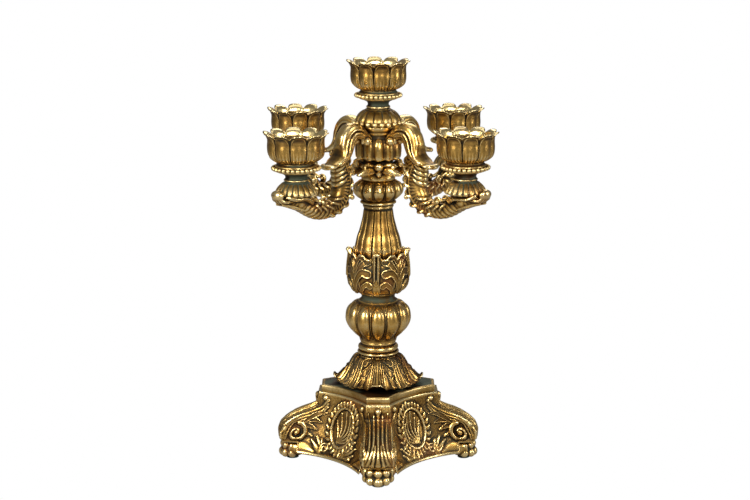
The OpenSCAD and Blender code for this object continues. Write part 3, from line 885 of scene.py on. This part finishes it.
def corner_ornament(across, z, ground):
    """The front of a leg: a bead, a ribbed stem and a leaf bell that opens downwards."""
    art = Relief(across, z)
    art.height += ground
    for side in (np.array([-1, 1]), np.array([1, 1])):
        art.ridge(side * [(9.4, 64), (8.2, 52), (8.6, 40), (12.4, 26), (14.4, 19)],
                  [0.8, 1.0, 1.1, 1.6, 2.2], 1.3)
        art.ridge(side * [(4.4, 61), (4.2, 50), (4.4, 42), (7.2, 32), (11.0, 22)],
                  [1.0, 1.3, 1.3, 1.8, 2.4], 2.0)
        art.ridge(side * [(2.8, 40), (3.8, 33), (6.0, 23)], [0.8, 1.6, 2.2], 2.2)
        art.spoon(side * [(9.0, 22), (11.4, 17)], [3.0, 2.6], 1.8, 0.8)
    art.height += 1.1 * bump(across, 7.0) * step(z, 64, 58)
    art.ridge([(0, 64), (0, 54), (0, 42), (0, 34)], [1.6, 1.5, 1.4, 1.2], 2.4, floor=0.8)
    art.ridge([(0, 38), (0, 30), (0, 21)], [1.0, 2.4, 4.0], 3.2)
    art.dot(0, 65.5, 3.1, 3.0)
    return art.height


def base_casting():
    """The hollow base: its faces and legs carry their ornament along the surface's normals."""
    cols, rows = ((800, 88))
    theta = spread_angles(cols, 30)
    corner_run = flow(CORNER_LINE, rows)
    off = from_corner(theta)
    over_paw = step(base_radius(theta, 12.0) * np.cos(off), 79.5, 85)
    hem = BASE_FOOT + (FOOT_TOP - BASE_FOOT) * over_paw
    line_z = corner_run[:, 1][:, None]
    bent_z = hem + (line_z - BASE_FOOT) * (BEND_TOP - hem) / (BEND_TOP - BASE_FOOT)
    z = np.where(line_z < BEND_TOP, bent_z, line_z)
    r = base_radius(theta[None], z)
    x, y = r * np.cos(theta), r * np.sin(theta)
    gap = np.hypot(np.diff(x, axis=1, append=x[:, :1]), np.diff(y, axis=1, append=y[:, :1]))
    run = np.concatenate([np.zeros((rows, 1)), np.cumsum(gap, axis=1)[:, :-1]], axis=1)
    pebbles = 0.16 * np.sin(run * 2.3 + 2.1 * np.sin(z * 1.1)) * np.sin(z * 2.5 + 1.7 * np.sin(run * 0.9))
    height = np.zeros_like(r)
    for face in range(4):
        middle_at = math.pi / 4 + face * math.pi / 2
        mine = np.abs((theta - middle_at + math.pi) % TAU - math.pi) < math.pi / 4
        cols_here = np.where(mine)[0]
        centre_run = np.array([np.interp(middle_at, theta, run[k]) for k in range(rows)])[:, None]
        s = run[:, cols_here] - centre_run
        hand = 1 if face % 2 == 0 else -1
        height[:, cols_here] = face_ornament(hand * s, z[:, cols_here], pebbles[:, cols_here])
    across = r * np.sin(off)
    edge = np.arctan2(at_height(HALF_LINE, z), at_height(CORNER_LINE, z))
    flat = step(np.abs(off), edge * 1.08, edge * 0.86)
    front = corner_ornament(across, z, pebbles)
    height = height * (1 - flat) + front * flat
    edge_band = bump(z - hem - 1.5, 1.9) * 1.5 * (1 - 0.7 * over_paw)
    height = np.maximum(height * step(z, hem + 1, hem + 5) * step(z, BASE_TOP, BASE_TOP - 2), edge_band)
    points = np.stack([x, y, z], -1)
    down = np.gradient(points, axis=0)
    sideways = np.roll(points, -1, 1) - np.roll(points, 1, 1)
    outer = points + unit(np.cross(sideways, down)) * height[..., None]
    inner_z = np.linspace(0, 1, 8)[:, None] * (hem + 0.6 - CEILING) + CEILING
    inner_r = base_radius(theta[None], inner_z, 5.0)
    inner = np.stack([inner_r * np.cos(theta), inner_r * np.sin(theta), inner_z], -1)
    lid = np.stack([inner[0] * f * [1, 1, 0] + [0, 0, CEILING] for f in (0.15, 0.6)])
    crown = np.stack([outer[-1] * [f, f, 0] + [0, 0, BASE_TOP] for f in (0.6, 0.15)])
    return [skin(np.concatenate([lid, inner, outer, crown]))]


def plate_ring(theta, z, inset):
    r = cornered(theta, 56 + inset, 42.2 + inset, 11 + 0.4 * inset)
    return np.stack([r * np.cos(theta), r * np.sin(theta), np.full_like(theta, z)], -1)


def square_plate():
    """A slab with cut corners, hollow sides and softened edges."""
    theta = spread_angles(640, 71)
    rims = [(0.0, -1.0), (0.6, -0.2), (1.6, 0.0), (5.2, 0.0), (6.3, -0.3), (6.9, -1.1), (7.0, -2.2)]
    rows = [plate_ring(theta, BASE_TOP + lift, inset) for lift, inset in rims]
    low = [rows[0] * [f, f, 1] for f in (0.2, 0.9)]
    high = [rows[-1] * [f, f, 1] + [0, 0, g] for f, g in ((0.96, -0.25), (0.9, -0.35), (0.2, -0.35))]
    return [skin(np.stack(low + rows + high))]


def paw(direction):
    """Two rows of knuckles in front of a rounded heel."""
    shapes = [egg((83.5, 0, 10.6), (12.5, 13.6, 9.0)), egg((78, 0, 13.6), (12, 14.8, 7.6))]
    for hand in (-1, 1):
        shapes.append(swept([(66, 18.4 * hand, 12.5), (74, 15.6 * hand, 12.8), (82, 12.4 * hand, 12.6),
                             (88, 10 * hand, 12)], (0, 0, 1), [3.4, 4.6, 5.6, 5], [2.4, 3.4, 4, 4], 20))
    for row, (height, reach, radius) in enumerate(((6.2, 11.6, 4.9), (14.4, 10.6, 4.4))):
        for k in range(5):
            a = math.radians(-78 + 39 * k)
            drop = 0.5 * abs(k - 2) * (1 - row)
            at = (83.6 + reach * math.cos(a), 11.6 * math.sin(a), height + drop)
            shapes.append(ball(at, radius - 0.25 * abs(k - 2), (1, 1, 1), 20))
    return [spun(s, direction) for s in shapes]


# ---- The leaf skirt and the calyx ----

def leaf_skirt():
    """Four broad leaves that spread over the plate, with a narrow curled tongue between each two."""
    outside, inside = 66, 16

    def shell(outer, inner):
        neck = [(16, 0), (20, 0), (20.4, -0.6)]
        foot = [(32.8, -30.2), (16, -30.2)]
        return np.vstack([flow(raised(neck + outer, SKIRT_TOP), outside),
                          flow(raised(inner + foot, SKIRT_TOP), inside)])

    tongue = shell([(23.4, -2), (26.2, -5), (28.7, -8.4), (31.2, -12), (34.9, -16.4), (38.4, -20.4),
                    (41.4, -23), (43.4, -22.8), (44.2, -21)],
                   [(44.2, -22.2), (43.4, -24.4), (40.6, -26.4), (37, -27.8), (34, -29)])
    leaf = shell([(23.4, -2.4), (26, -5.8), (28.2, -10), (30.4, -14.4), (32.8, -18.8), (35.4, -22.6),
                  (37.8, -25.2), (39.8, -26.2), (41.2, -25.8)],
                 [(41.2, -26.6), (39.8, -27.6), (36.6, -27.6), (34.4, -28), (33.2, -29)])

    def weight(theta):
        u = np.abs(wrap(theta, LEAVES, SKIRT_FRONT))
        scallop = 0.17 * np.cos(u * 4.5 * TAU) * step(u, 0.25, 0.35)
        return step(u, 0.30, 0.10) + scallop

    def leaves(theta, z):
        across = np.broadcast_to(np.abs(wrap(theta, LEAVES, SKIRT_FRONT)) * 45 * 0.62, z.shape)
        down = np.concatenate([np.linspace(0, 42, outside), np.full(inside, 60.0)])[:, None]
        art = Relief(across, np.broadcast_to(down, z.shape))
        art.height += 0.8 * step(across, 5, 9)
        for a, b in ((6.4, 8.2), (26.4, 25.4), (22.6, 23.0)):
            art.ridge([(a, 3), ((a + b) / 2, 18), (b, 41)], [0.8, 1.2, 1.7], 2.0)
        for start, bend, head, size in (((13.0, 27), (16.6, 31), (18.6, 36.0), 3.6),
                                        ((9.6, 13), (12.0, 18.4), (16.8, 24.4), 4.6),
                                        ((10.6, 2.5), (14.6, 6), (19.4, 12.0), 4.6)):
            art.spoon([start, bend, head], [1.0, size * 0.7, size], 3.6, 1.0)
        for shift, wide in ((4.4, 1.1), (0.0, 1.9), (2.3, 1.0)):
            art.ridge([(shift * 0.7, 3), (shift, 20), (shift * 1.3, 38)], [0.8 * wide, wide, wide], 1.9)
        lip = 1.1 * bump(down - 40.8, 1.3)
        return np.where(down < 50, np.maximum(art.height * step(down, 1, 5), lip), 0)

    return [lofted(mixed(tongue, leaf, weight), 448, leaves), egg((0, 0, PLATE_TOP + 3.4), (30, 30, 3.2), 40)]


def leaf_calyx():
    """Four acanthus leaves whose tips curl outwards over the foot of the column."""
    outside, inside = 78, 18

    def shell(top, flare):
        """The line up the outside to a rim that leans out by flare, and back down the inside."""
        outer = [(12, 0), (19.6, 0), (20.4, 0.4), (20.4, 1.2), (20.4, 1.4), (23.6, 3), (26.6, 6),
                 (28.4, 9.6), (29.0, 14), (29.1, 19), (28.9, 25), (28.4, 31), (27.5, top - 5),
                 (27.3 + 0.5 * flare, top - 1.6), (27.6 + flare, top)]
        inner = [(27.4 + flare, top + 1.0), (25.6, top - 0.4), (24.8, top - 5), (24.8, 29), (24, 17),
                 (20, 6), (12, 3.4)]
        return np.vstack([flow(raised(outer, CALYX_FOOT), outside), flow(raised(inner, CALYX_FOOT), inside)])

    def weight(theta):
        u = np.abs(wrap(theta, LEAVES, STEM_FRONT))
        return np.maximum(step(u, 0.26, 0.08), 0.62 * step(np.abs(u - 0.72), 0.28, 0.08))

    def leaves(theta, z):
        up = z - CALYX_FOOT
        out = (np.arange(len(z)) < outside)[:, None]
        art = Relief(np.broadcast_to(np.abs(wrap(theta, LEAVES, STEM_FRONT)) * 22.9, z.shape), up)
        for shift in (0.0, 3.0, 6.0):
            art.ridge([(22.9 - shift, 2), (22.6 - shift * 0.6, 19), (21.4 - shift * 0.3, 37)],
                      [0.7, 0.9, 0.7], 0.8)
        for line, size in ((((22.9, 21), (22.4, 33), (19.0, 40.0), (14.6, 39.4)), 3.7),
                           (((22.6, 12), (19.6, 24), (14.6, 32.6), (8.6, 35.4)), 3.7),
                           (((22.8, 6), (20.8, 17), (15.4, 24.4), (9.0, 23.6)), 4.4),
                           (((18.0, 3), (14.0, 10), (9.2, 13.4), (6.4, 11.8)), 3.0)):
            art.spoon(line, np.linspace(1.2, size, len(line)), 2.4, 0.9)
        art.spoon([(0, 15), (0, 29), (0, 45)], [2.6, 3.6, 4.6], 1.5, 0.9)
        art.ridge([(1.7, 17), (1.7, 31), (1.9, 43)], [0.7, 1.2, 1.4], 2.8)
        art.ridge([(0, 3), (0, 10), (0, 17)], [4.4, 4.2, 2.0], 1.6)
        return np.where(out, art.height * step(up, 1.6, 3.4), 0)

    curl = ball((29.0, 0, CALYX_FOOT + 43), 2.3, (0.9, 1.6, 0.9), 18)
    cup = lofted(mixed(shell(44.0, 2.2), shell(37.5, 0.2), weight), 448, leaves)
    return [cup] + around(curl, LEAVES, math.degrees(STEM_FRONT))


# ---- A branch, lying in the plane y = 0, with its seat for the drip pan at height 0 ----

ACROSS = (0, 1, 0)

# The scrolled band that leaves the hub, with its half widths and half depths
BAND = [(18, 43), (25, 47), (32.5, 50.2), (39.5, 50.2), (44.8, 45.8), (47.8, 39.4), (50.2, 32.6),
        (54.2, 27.6), (59.6, 24), (65.2, 21.4), (70.0, 20), (72.6, 20.2)]
BAND_WIDE = [5.6, 6.8, 7.3, 7.5, 7.6, 7.7, 8.0, 8.6, 9.2, 9.2, 8.0, 5.0]
BAND_DEEP = [3.5, 5.0, 6.4, 7.7, 8.7, 9.2, 8.8, 7.0, 4.4, 3.0, 2.4, 2.0]

# The feathered stem that starts behind the band's lip and turns outwards
STEM = [(55, 24), (53, 15), (50.8, 7), (50.8, -1), (52.8, -8.6), (58.4, -15.4), (66, -19), (75, -20.8),
        (84, -20.4), (93, -17.6), (102.4, -12.8), (112, -8.4), (121, -5.4), (131, -3)]
STEM_WIDE = [7.0, 7.4, 7.6, 7.4, 7.2, 7.0, 7.0, 6.9, 6.8, 6.8, 6.8, 7.4, 7.6, 6.8]
STEM_DEEP = [5, 7.4, 9.4, 10.2, 10.2, 8.8, 7.8, 7.4, 7.2, 7.0, 6.6, 5.4, 4.2, 3]


def in_plane(points, count):
    line = flow(points, count)
    return np.stack([line[:, 0], np.zeros(count), line[:, 1]], -1)


def beside(line, shift, y):
    """The in-plane line moved sideways, towards the axis where shift is positive, and out to y."""
    along = unit(np.gradient(line, axis=0))
    inward = np.stack([along[:, 2], 0 * along[:, 1], -along[:, 0]], -1)
    shifted = line + inward * np.asarray(shift)[:, None]
    shifted[:, 1] = y
    return shifted


def curl(out, height, radius, hand, span, count, wide, thick, cols):
    """A rounded ring on one side of the branch, open where the span of angles leaves it so."""
    angle = np.linspace(*span, count)
    ring = np.stack([out + radius * np.cos(angle), np.full(count, 6.0 * hand),
                     height + radius * np.sin(angle)], -1)
    return swept(ring, ACROSS, wide, thick, cols)


def scroll_band():
    """The band with rails along its sides and a curl at the hub."""
    count = 100
    band = in_plane(BAND, count)
    wide = rise_along(BAND_WIDE, count)
    deep = rise_along(BAND_DEEP, count)

    def crown(angle, along):
        return 0.5 * np.clip(-np.sin(angle), 0, 1) ** 2 - 0.25

    shapes = [swept(band, ACROSS, wide, deep, 64, crown, 2.9)]
    for hand in (-1, 1):
        for share, proud, thick in ((-0.30, 0.99, 0.8), (0.18, 1.0, 1.15), (0.5, 0.96, 1.2),
                                    (0.8, 0.78, 1.3)):
            rail = beside(band, deep * share, hand * wide * proud)[4:84]
            shapes.append(swept(rail, ACROSS, thick, thick, 10))
        shapes.append(ball((22.6, 6.9 * hand, 40), 4.2, cols=22))
        shapes.append(curl(22.6, 40.4, 5.6, hand, (-0.4, 4.4), 24, 1.7, 1.3, 12))
    return shapes


def crescents():
    """The rolled edge of the band's lip, and the leaves that wrap the stem below it."""
    count = 30
    angle = np.linspace(-1.45, 1.45, count)
    roll = np.stack([63.4 + 9.4 * np.cos(angle), 9.2 * np.sin(angle), 21.8 - 1.6 * np.cos(angle)], -1)
    thick = tapered(count, 2.5, 0.5)
    shapes = [swept(roll, (0, 0, 1), thick, thick, 16)]
    stem = in_plane(STEM, 100)
    for at, reach, wide in ((5, 8.0, 8.2), (9, 9.0, 8.0), (13, 9.8, 7.8), (17, 10.2, 7.6)):
        out, _, height = stem[at]
        arc = np.stack([out + reach * np.cos(angle), wide * np.sin(angle),
                        height + 4.4 - 6.6 * np.cos(angle)], -1)
        shapes.append(swept(arc, (0.4, 0, 1), tapered(count, 2.3, 0.5), 1.5, 16))
    return shapes


def leaf_line(stem, at, hand, inside, places, count):
    """A leaf's line on the stem, from places given as (off the middle, ahead, sideways).

    inside is 1 on the side of the stem that faces the axis and -1 on the other.
    """
    way = unit(stem[at + 1] - stem[at - 1])
    off = inside * np.array([way[2], 0, -way[0]])
    side = hand * np.array(ACROSS)
    return flow([stem[at] + off * a + way * b + side * c for a, b, c in places], count)


def feathered_stem():
    """The stem, feathered inside the bend and ribbed beyond it, with leaves along both edges."""
    count = 170
    stem = in_plane(STEM, count)
    wide = rise_along(STEM_WIDE, count)
    deep = rise_along(STEM_DEEP, count)

    def feather(angle, along):
        inner = np.sin(angle)
        down = step(along, 46, 58)
        barbs = 0.55 * np.cos(TAU * (along + 6.0 * np.abs(np.cos(angle))) / 3.1) * step(inner, -0.5, 0.1)
        ribs = 0.85 * np.abs(np.cos(math.pi * (along - 4.5 * inner) / 5.2)) ** 0.7 - 0.45
        return barbs * (1 - down) + ribs * down * step(along, 118, 104)

    def veins(angle, along):
        return 0.22 * np.cos(np.cos(angle) * 12)

    shapes = [swept(stem, ACROSS, wide, deep, 96, feather, 2.4)]
    for hand in (-1, 1):
        spine = beside(stem, deep * 0.42, hand * wide * 0.86)[6:86]
        shapes.append(swept(spine, ACROSS, 1.5, 1.3, 12))
        for at, size in ((16, 3.0), (28, 3.2), (40, 3.2), (52, 3.0), (63, 2.6), (74, 2.4)):
            half = deep[at]
            line = leaf_line(stem, at, hand, 1, [(half * 0.30, 7, 7.0), (half * 0.74, 3.4, 6.0),
                                                 (half - 0.7, -1.6, 2.4)], 24)
            shapes.append(swept(line, (0.3, 1, 0.3), tapered(24, size, 0.55), 1.7, 14, veins))
        for at in (58, 70, 82, 94, 106):
            half = deep[at]
            line = leaf_line(stem, at, hand, -1, [(half * 0.1, -5, 6.6), (half * 0.6, 0.6, 5.8),
                                                  (half - 0.9, 4.4, 3.2)], 20)
            shapes.append(swept(line, (0.3, 1, 0.3), tapered(20, 2.4, 0.5), 1.4, 12))
        shapes.append(ball((82.6, 6.2 * hand, -10.8), 2.6, cols=14))
        shapes.append(curl(82.6, -10.8, 4.0, hand, (0, 5.2), 18, 1.5, 1.0, 10))
        shapes.append(ball((40.2, 3.4 * hand, -12.2), 2.6, cols=16))
    return shapes


def branch_end():
    """The broad leaf under the drip pan, with its curled tip and a row of pearls leading up to it."""
    count = 60
    seat = in_plane([(90, -13), (100, -5.4), (108, -3), (118, -2.4), (126, -3.6), (133, -3.6),
                     (136, -0.4), (135.6, 3.4), (133, 5.2)], count)
    wide = rise_along([2, 7.6, 10.2, 11, 10.6, 9.8, 8.4, 6.6, 4], count)
    deep = rise_along([1.5, 2, 2.2, 2.2, 2.4, 2.4, 2.2, 1.9, 1.4], count)

    def veins(angle, along):
        return 0.55 * np.cos(np.cos(angle) * 14)

    shapes = [egg((REACH, 0, -7), (9.5, 9, 8)), egg((135.6, 0, 2.2), (4.6, 7.4, 4.8)),
              swept(seat, ACROSS, wide, deep, 48, veins, 2.2)]
    for hand in (-1, 1):
        for t in np.linspace(0, 1, 11):
            shapes.append(ball((87 + 17 * t, 4.4 * hand, -9.2 + 6.6 * t), 1.9 - 0.2 * t, cols=12))
        edge = flow([(96, 7 * hand, -10), (110, 11.6 * hand, -3.4), (124, 11.8 * hand, -2),
                     (133, 9 * hand, 1.6)], 30)
        shapes.append(swept(edge, (0, 1, 0.4), tapered(30, 3.6, 0.5), 1.7, 16))
        under = flow([(100, 3.6 * hand, -17.4), (112, 4 * hand, -13), (124, 4 * hand, -8.6),
                      (134, 4 * hand, -6)], 30)
        shapes.append(swept(under, ACROSS, tapered(30, 3.2, 0.5), 2.0, 16))
    return shapes


def branch():
    return moved(scroll_band() + crescents() + feathered_stem() + branch_end(), (0, 0, ARM_SEAT))


# ---- Making every piece ----

piece("base_casting", base_casting(), GOLD_BASE, "stand", "base_shell")
for foot, direction in FEET.items():
    piece("paw_" + foot, paw(direction), GOLD_BASE, "stand", "foot_" + foot, 0.75)
piece("square_plate", square_plate(), GREEN_GOLD, "stand", "base_plate")
piece("skirt_leaves", leaf_skirt(), GOLD, "stand", "leaf_skirt")
piece("ring_moulding", moulded_ring(), GOLD, "stand", "moulded_ring")
piece("gadrooned_knop", knop(), GOLD, "stand", "knop")
piece("collar_moulding", knop_collar(), GREEN_GOLD, "stand", "knop_collar")
piece("calyx_leaves", leaf_calyx(), GOLD, "stand", "leaf_calyx")
piece("reeded_column", reeded_column(), GOLD, "stand", "fluted_column")
piece("cap_moulding", column_cap(), GOLD, "stand", "column_cap")
piece("gadrooned_bulb", hub_bulb(), SHADED_HUB_GOLD, "branches", "hub_bulb")
piece("melon_hub", hub_body(), SHADED_HUB_GOLD, "branches", "hub_body", 0.72)
piece("dome_petals", beaded_dome(), GREEN_GOLD, "branches", "beaded_dome")

arm_mesh = cast_together(mesh_of("branch mould", joined(branch())), 0.7)
mark_hollows(arm_mesh)
for arm, direction in ARMS.items():
    mesh = arm_mesh.copy()
    mesh.transform(Matrix.Rotation(math.radians(direction + BRANCH_TURN), 4, "Z"))
    show("scroll_branch_" + arm, mesh, GOLD, "branches", "arm_" + arm)

for light, spot in LIGHT_PLACE.items():
    central = light == "centre"
    at = (spot.x, spot.y, CENTRE_BEAD if central else OUTER_BEAD)
    piece("flower_" + light, moved(flower_cup(), at), GOLD_CUP, "branches", "cup_" + light)
    piece("drip_pan_" + light, moved(drip_pan(not central), at), GREEN_GOLD, "branches",
          "pan_" + light)
    piece("candle_tube_" + light, moved(candle_socket(), at), SOCKET, "branches",
          "socket_" + light)

KEPT_NODES = {"foot_screws": STEEL, "tie_rod": STEEL, "rod_washer": STEEL, "rod_nut": STEEL,
              "arm_screws": STEEL, "branch_bolt": STEEL, "branch_nut": STEEL, "socket_screws": STEEL,
              "felt_pads": FELT}
for node, material in KEPT_NODES.items():
    for material_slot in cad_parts[node].material_slots:
        material_slot.material = material


# ---- Floor, light and camera ----

WHITE = (1, 1, 1, 1)


def floor():
    """A pale floor that lights the object from below and looks white itself."""
    half = 40.0
    corners = [(-half, -half, 0), (half, -half, 0), (half, half, 0), (-half, half, 0)]
    mesh = bpy.data.meshes.new("floor")
    mesh.from_pydata(corners, [], [(0, 1, 2, 3)])
    nodes = Nodes("pale floor")
    colour = nodes.mix(nodes.noise(3, 2), (0.30, 0.30, 0.31), (0.33, 0.33, 0.34))
    nodes.link(colour, nodes.shader.inputs["Base Color"])
    nodes.shader.inputs["Roughness"].default_value = 0.8
    glow = nodes.tree.nodes.new("ShaderNodeEmission")
    glow.inputs["Color"].default_value = WHITE
    show_to_camera(nodes.tree, nodes.shader, glow, nodes.tree.nodes["Material Output"])
    mesh.materials.append(nodes.material)
    obj = bpy.data.objects.new("floor", mesh)
    bpy.context.scene.collection.objects.link(obj)


def show_to_camera(tree, lit, seen, out):
    """Wires the output so that the camera sees one shader and every other ray the other."""
    rays = tree.nodes.new("ShaderNodeLightPath")
    mix = tree.nodes.new("ShaderNodeMixShader")
    tree.links.new(rays.outputs["Is Camera Ray"], mix.inputs["Fac"])
    tree.links.new(lit.outputs[0], mix.inputs[1])
    tree.links.new(seen.outputs[0], mix.inputs[2])
    tree.links.new(mix.outputs[0], out.inputs["Surface"])


def softbox(name, place, target, size, power, colour=(1, 1, 1)):
    light = bpy.data.lights.new(name, "AREA")
    light.shape = "RECTANGLE"
    light.size, light.size_y = size
    light.energy = power
    light.color = colour
    obj = bpy.data.objects.new(name, light)
    obj.location = place
    obj.rotation_euler = (Vector(target) - Vector(place)).to_track_quat("-Z", "Y").to_euler()
    bpy.context.scene.collection.objects.link(obj)


def backdrop():
    """White behind the object, a duller room in its reflections."""
    world = bpy.data.worlds.new("studio")
    bpy.context.scene.world = world
    world.use_nodes = True
    tree = world.node_tree
    tree.nodes.clear()
    out = tree.nodes.new("ShaderNodeOutputWorld")
    seen = tree.nodes.new("ShaderNodeBackground")
    seen.inputs["Color"].default_value = WHITE
    seen.inputs["Strength"].default_value = 1.0
    room = tree.nodes.new("ShaderNodeBackground")
    room.inputs["Color"].default_value = (0.80, 0.82, 0.86, 1)
    room.inputs["Strength"].default_value = 0.21
    show_to_camera(tree, room, seen, out)


def photographer(place, down, turn, lens):
    """The camera, in metres, looking towards +y and down by an angle in degrees."""
    camera = bpy.data.cameras.new("camera")
    camera.lens = lens
    camera.sensor_width = 36
    viewer = bpy.data.objects.new("camera", camera)
    viewer.location = place
    viewer.rotation_euler = (math.radians(90 - down), 0, math.radians(turn))
    bpy.context.scene.collection.objects.link(viewer)
    bpy.context.scene.camera = viewer


WARM = (1.0, 0.97, 0.90)
floor()
backdrop()
softbox("left box", (-1.15, -1.15, 0.95), (0, 0, 0.24), (0.42, 1.0), 25, WARM)
softbox("right box", (0.42, -1.5, 1.05), (0, 0, 0.24), (0.34, 0.8), 19, WARM)
softbox("side box", (1.5, -0.3, 0.7), (0, 0, 0.24), (0.3, 1.0), 7)
softbox("top box", (0, 0.1, 1.6), (0, 0, 0.2), (0.8, 0.8), 2.5)
softbox("back box", (0.2, 1.4, 1.3), (0, 0, 0.25), (1.0, 0.6), 7)
photographer((0, -1.772, 0.608), down=12.57, turn=0.102, lens=88.7)
bpy.context.scene.view_settings.view_transform = "Standard"
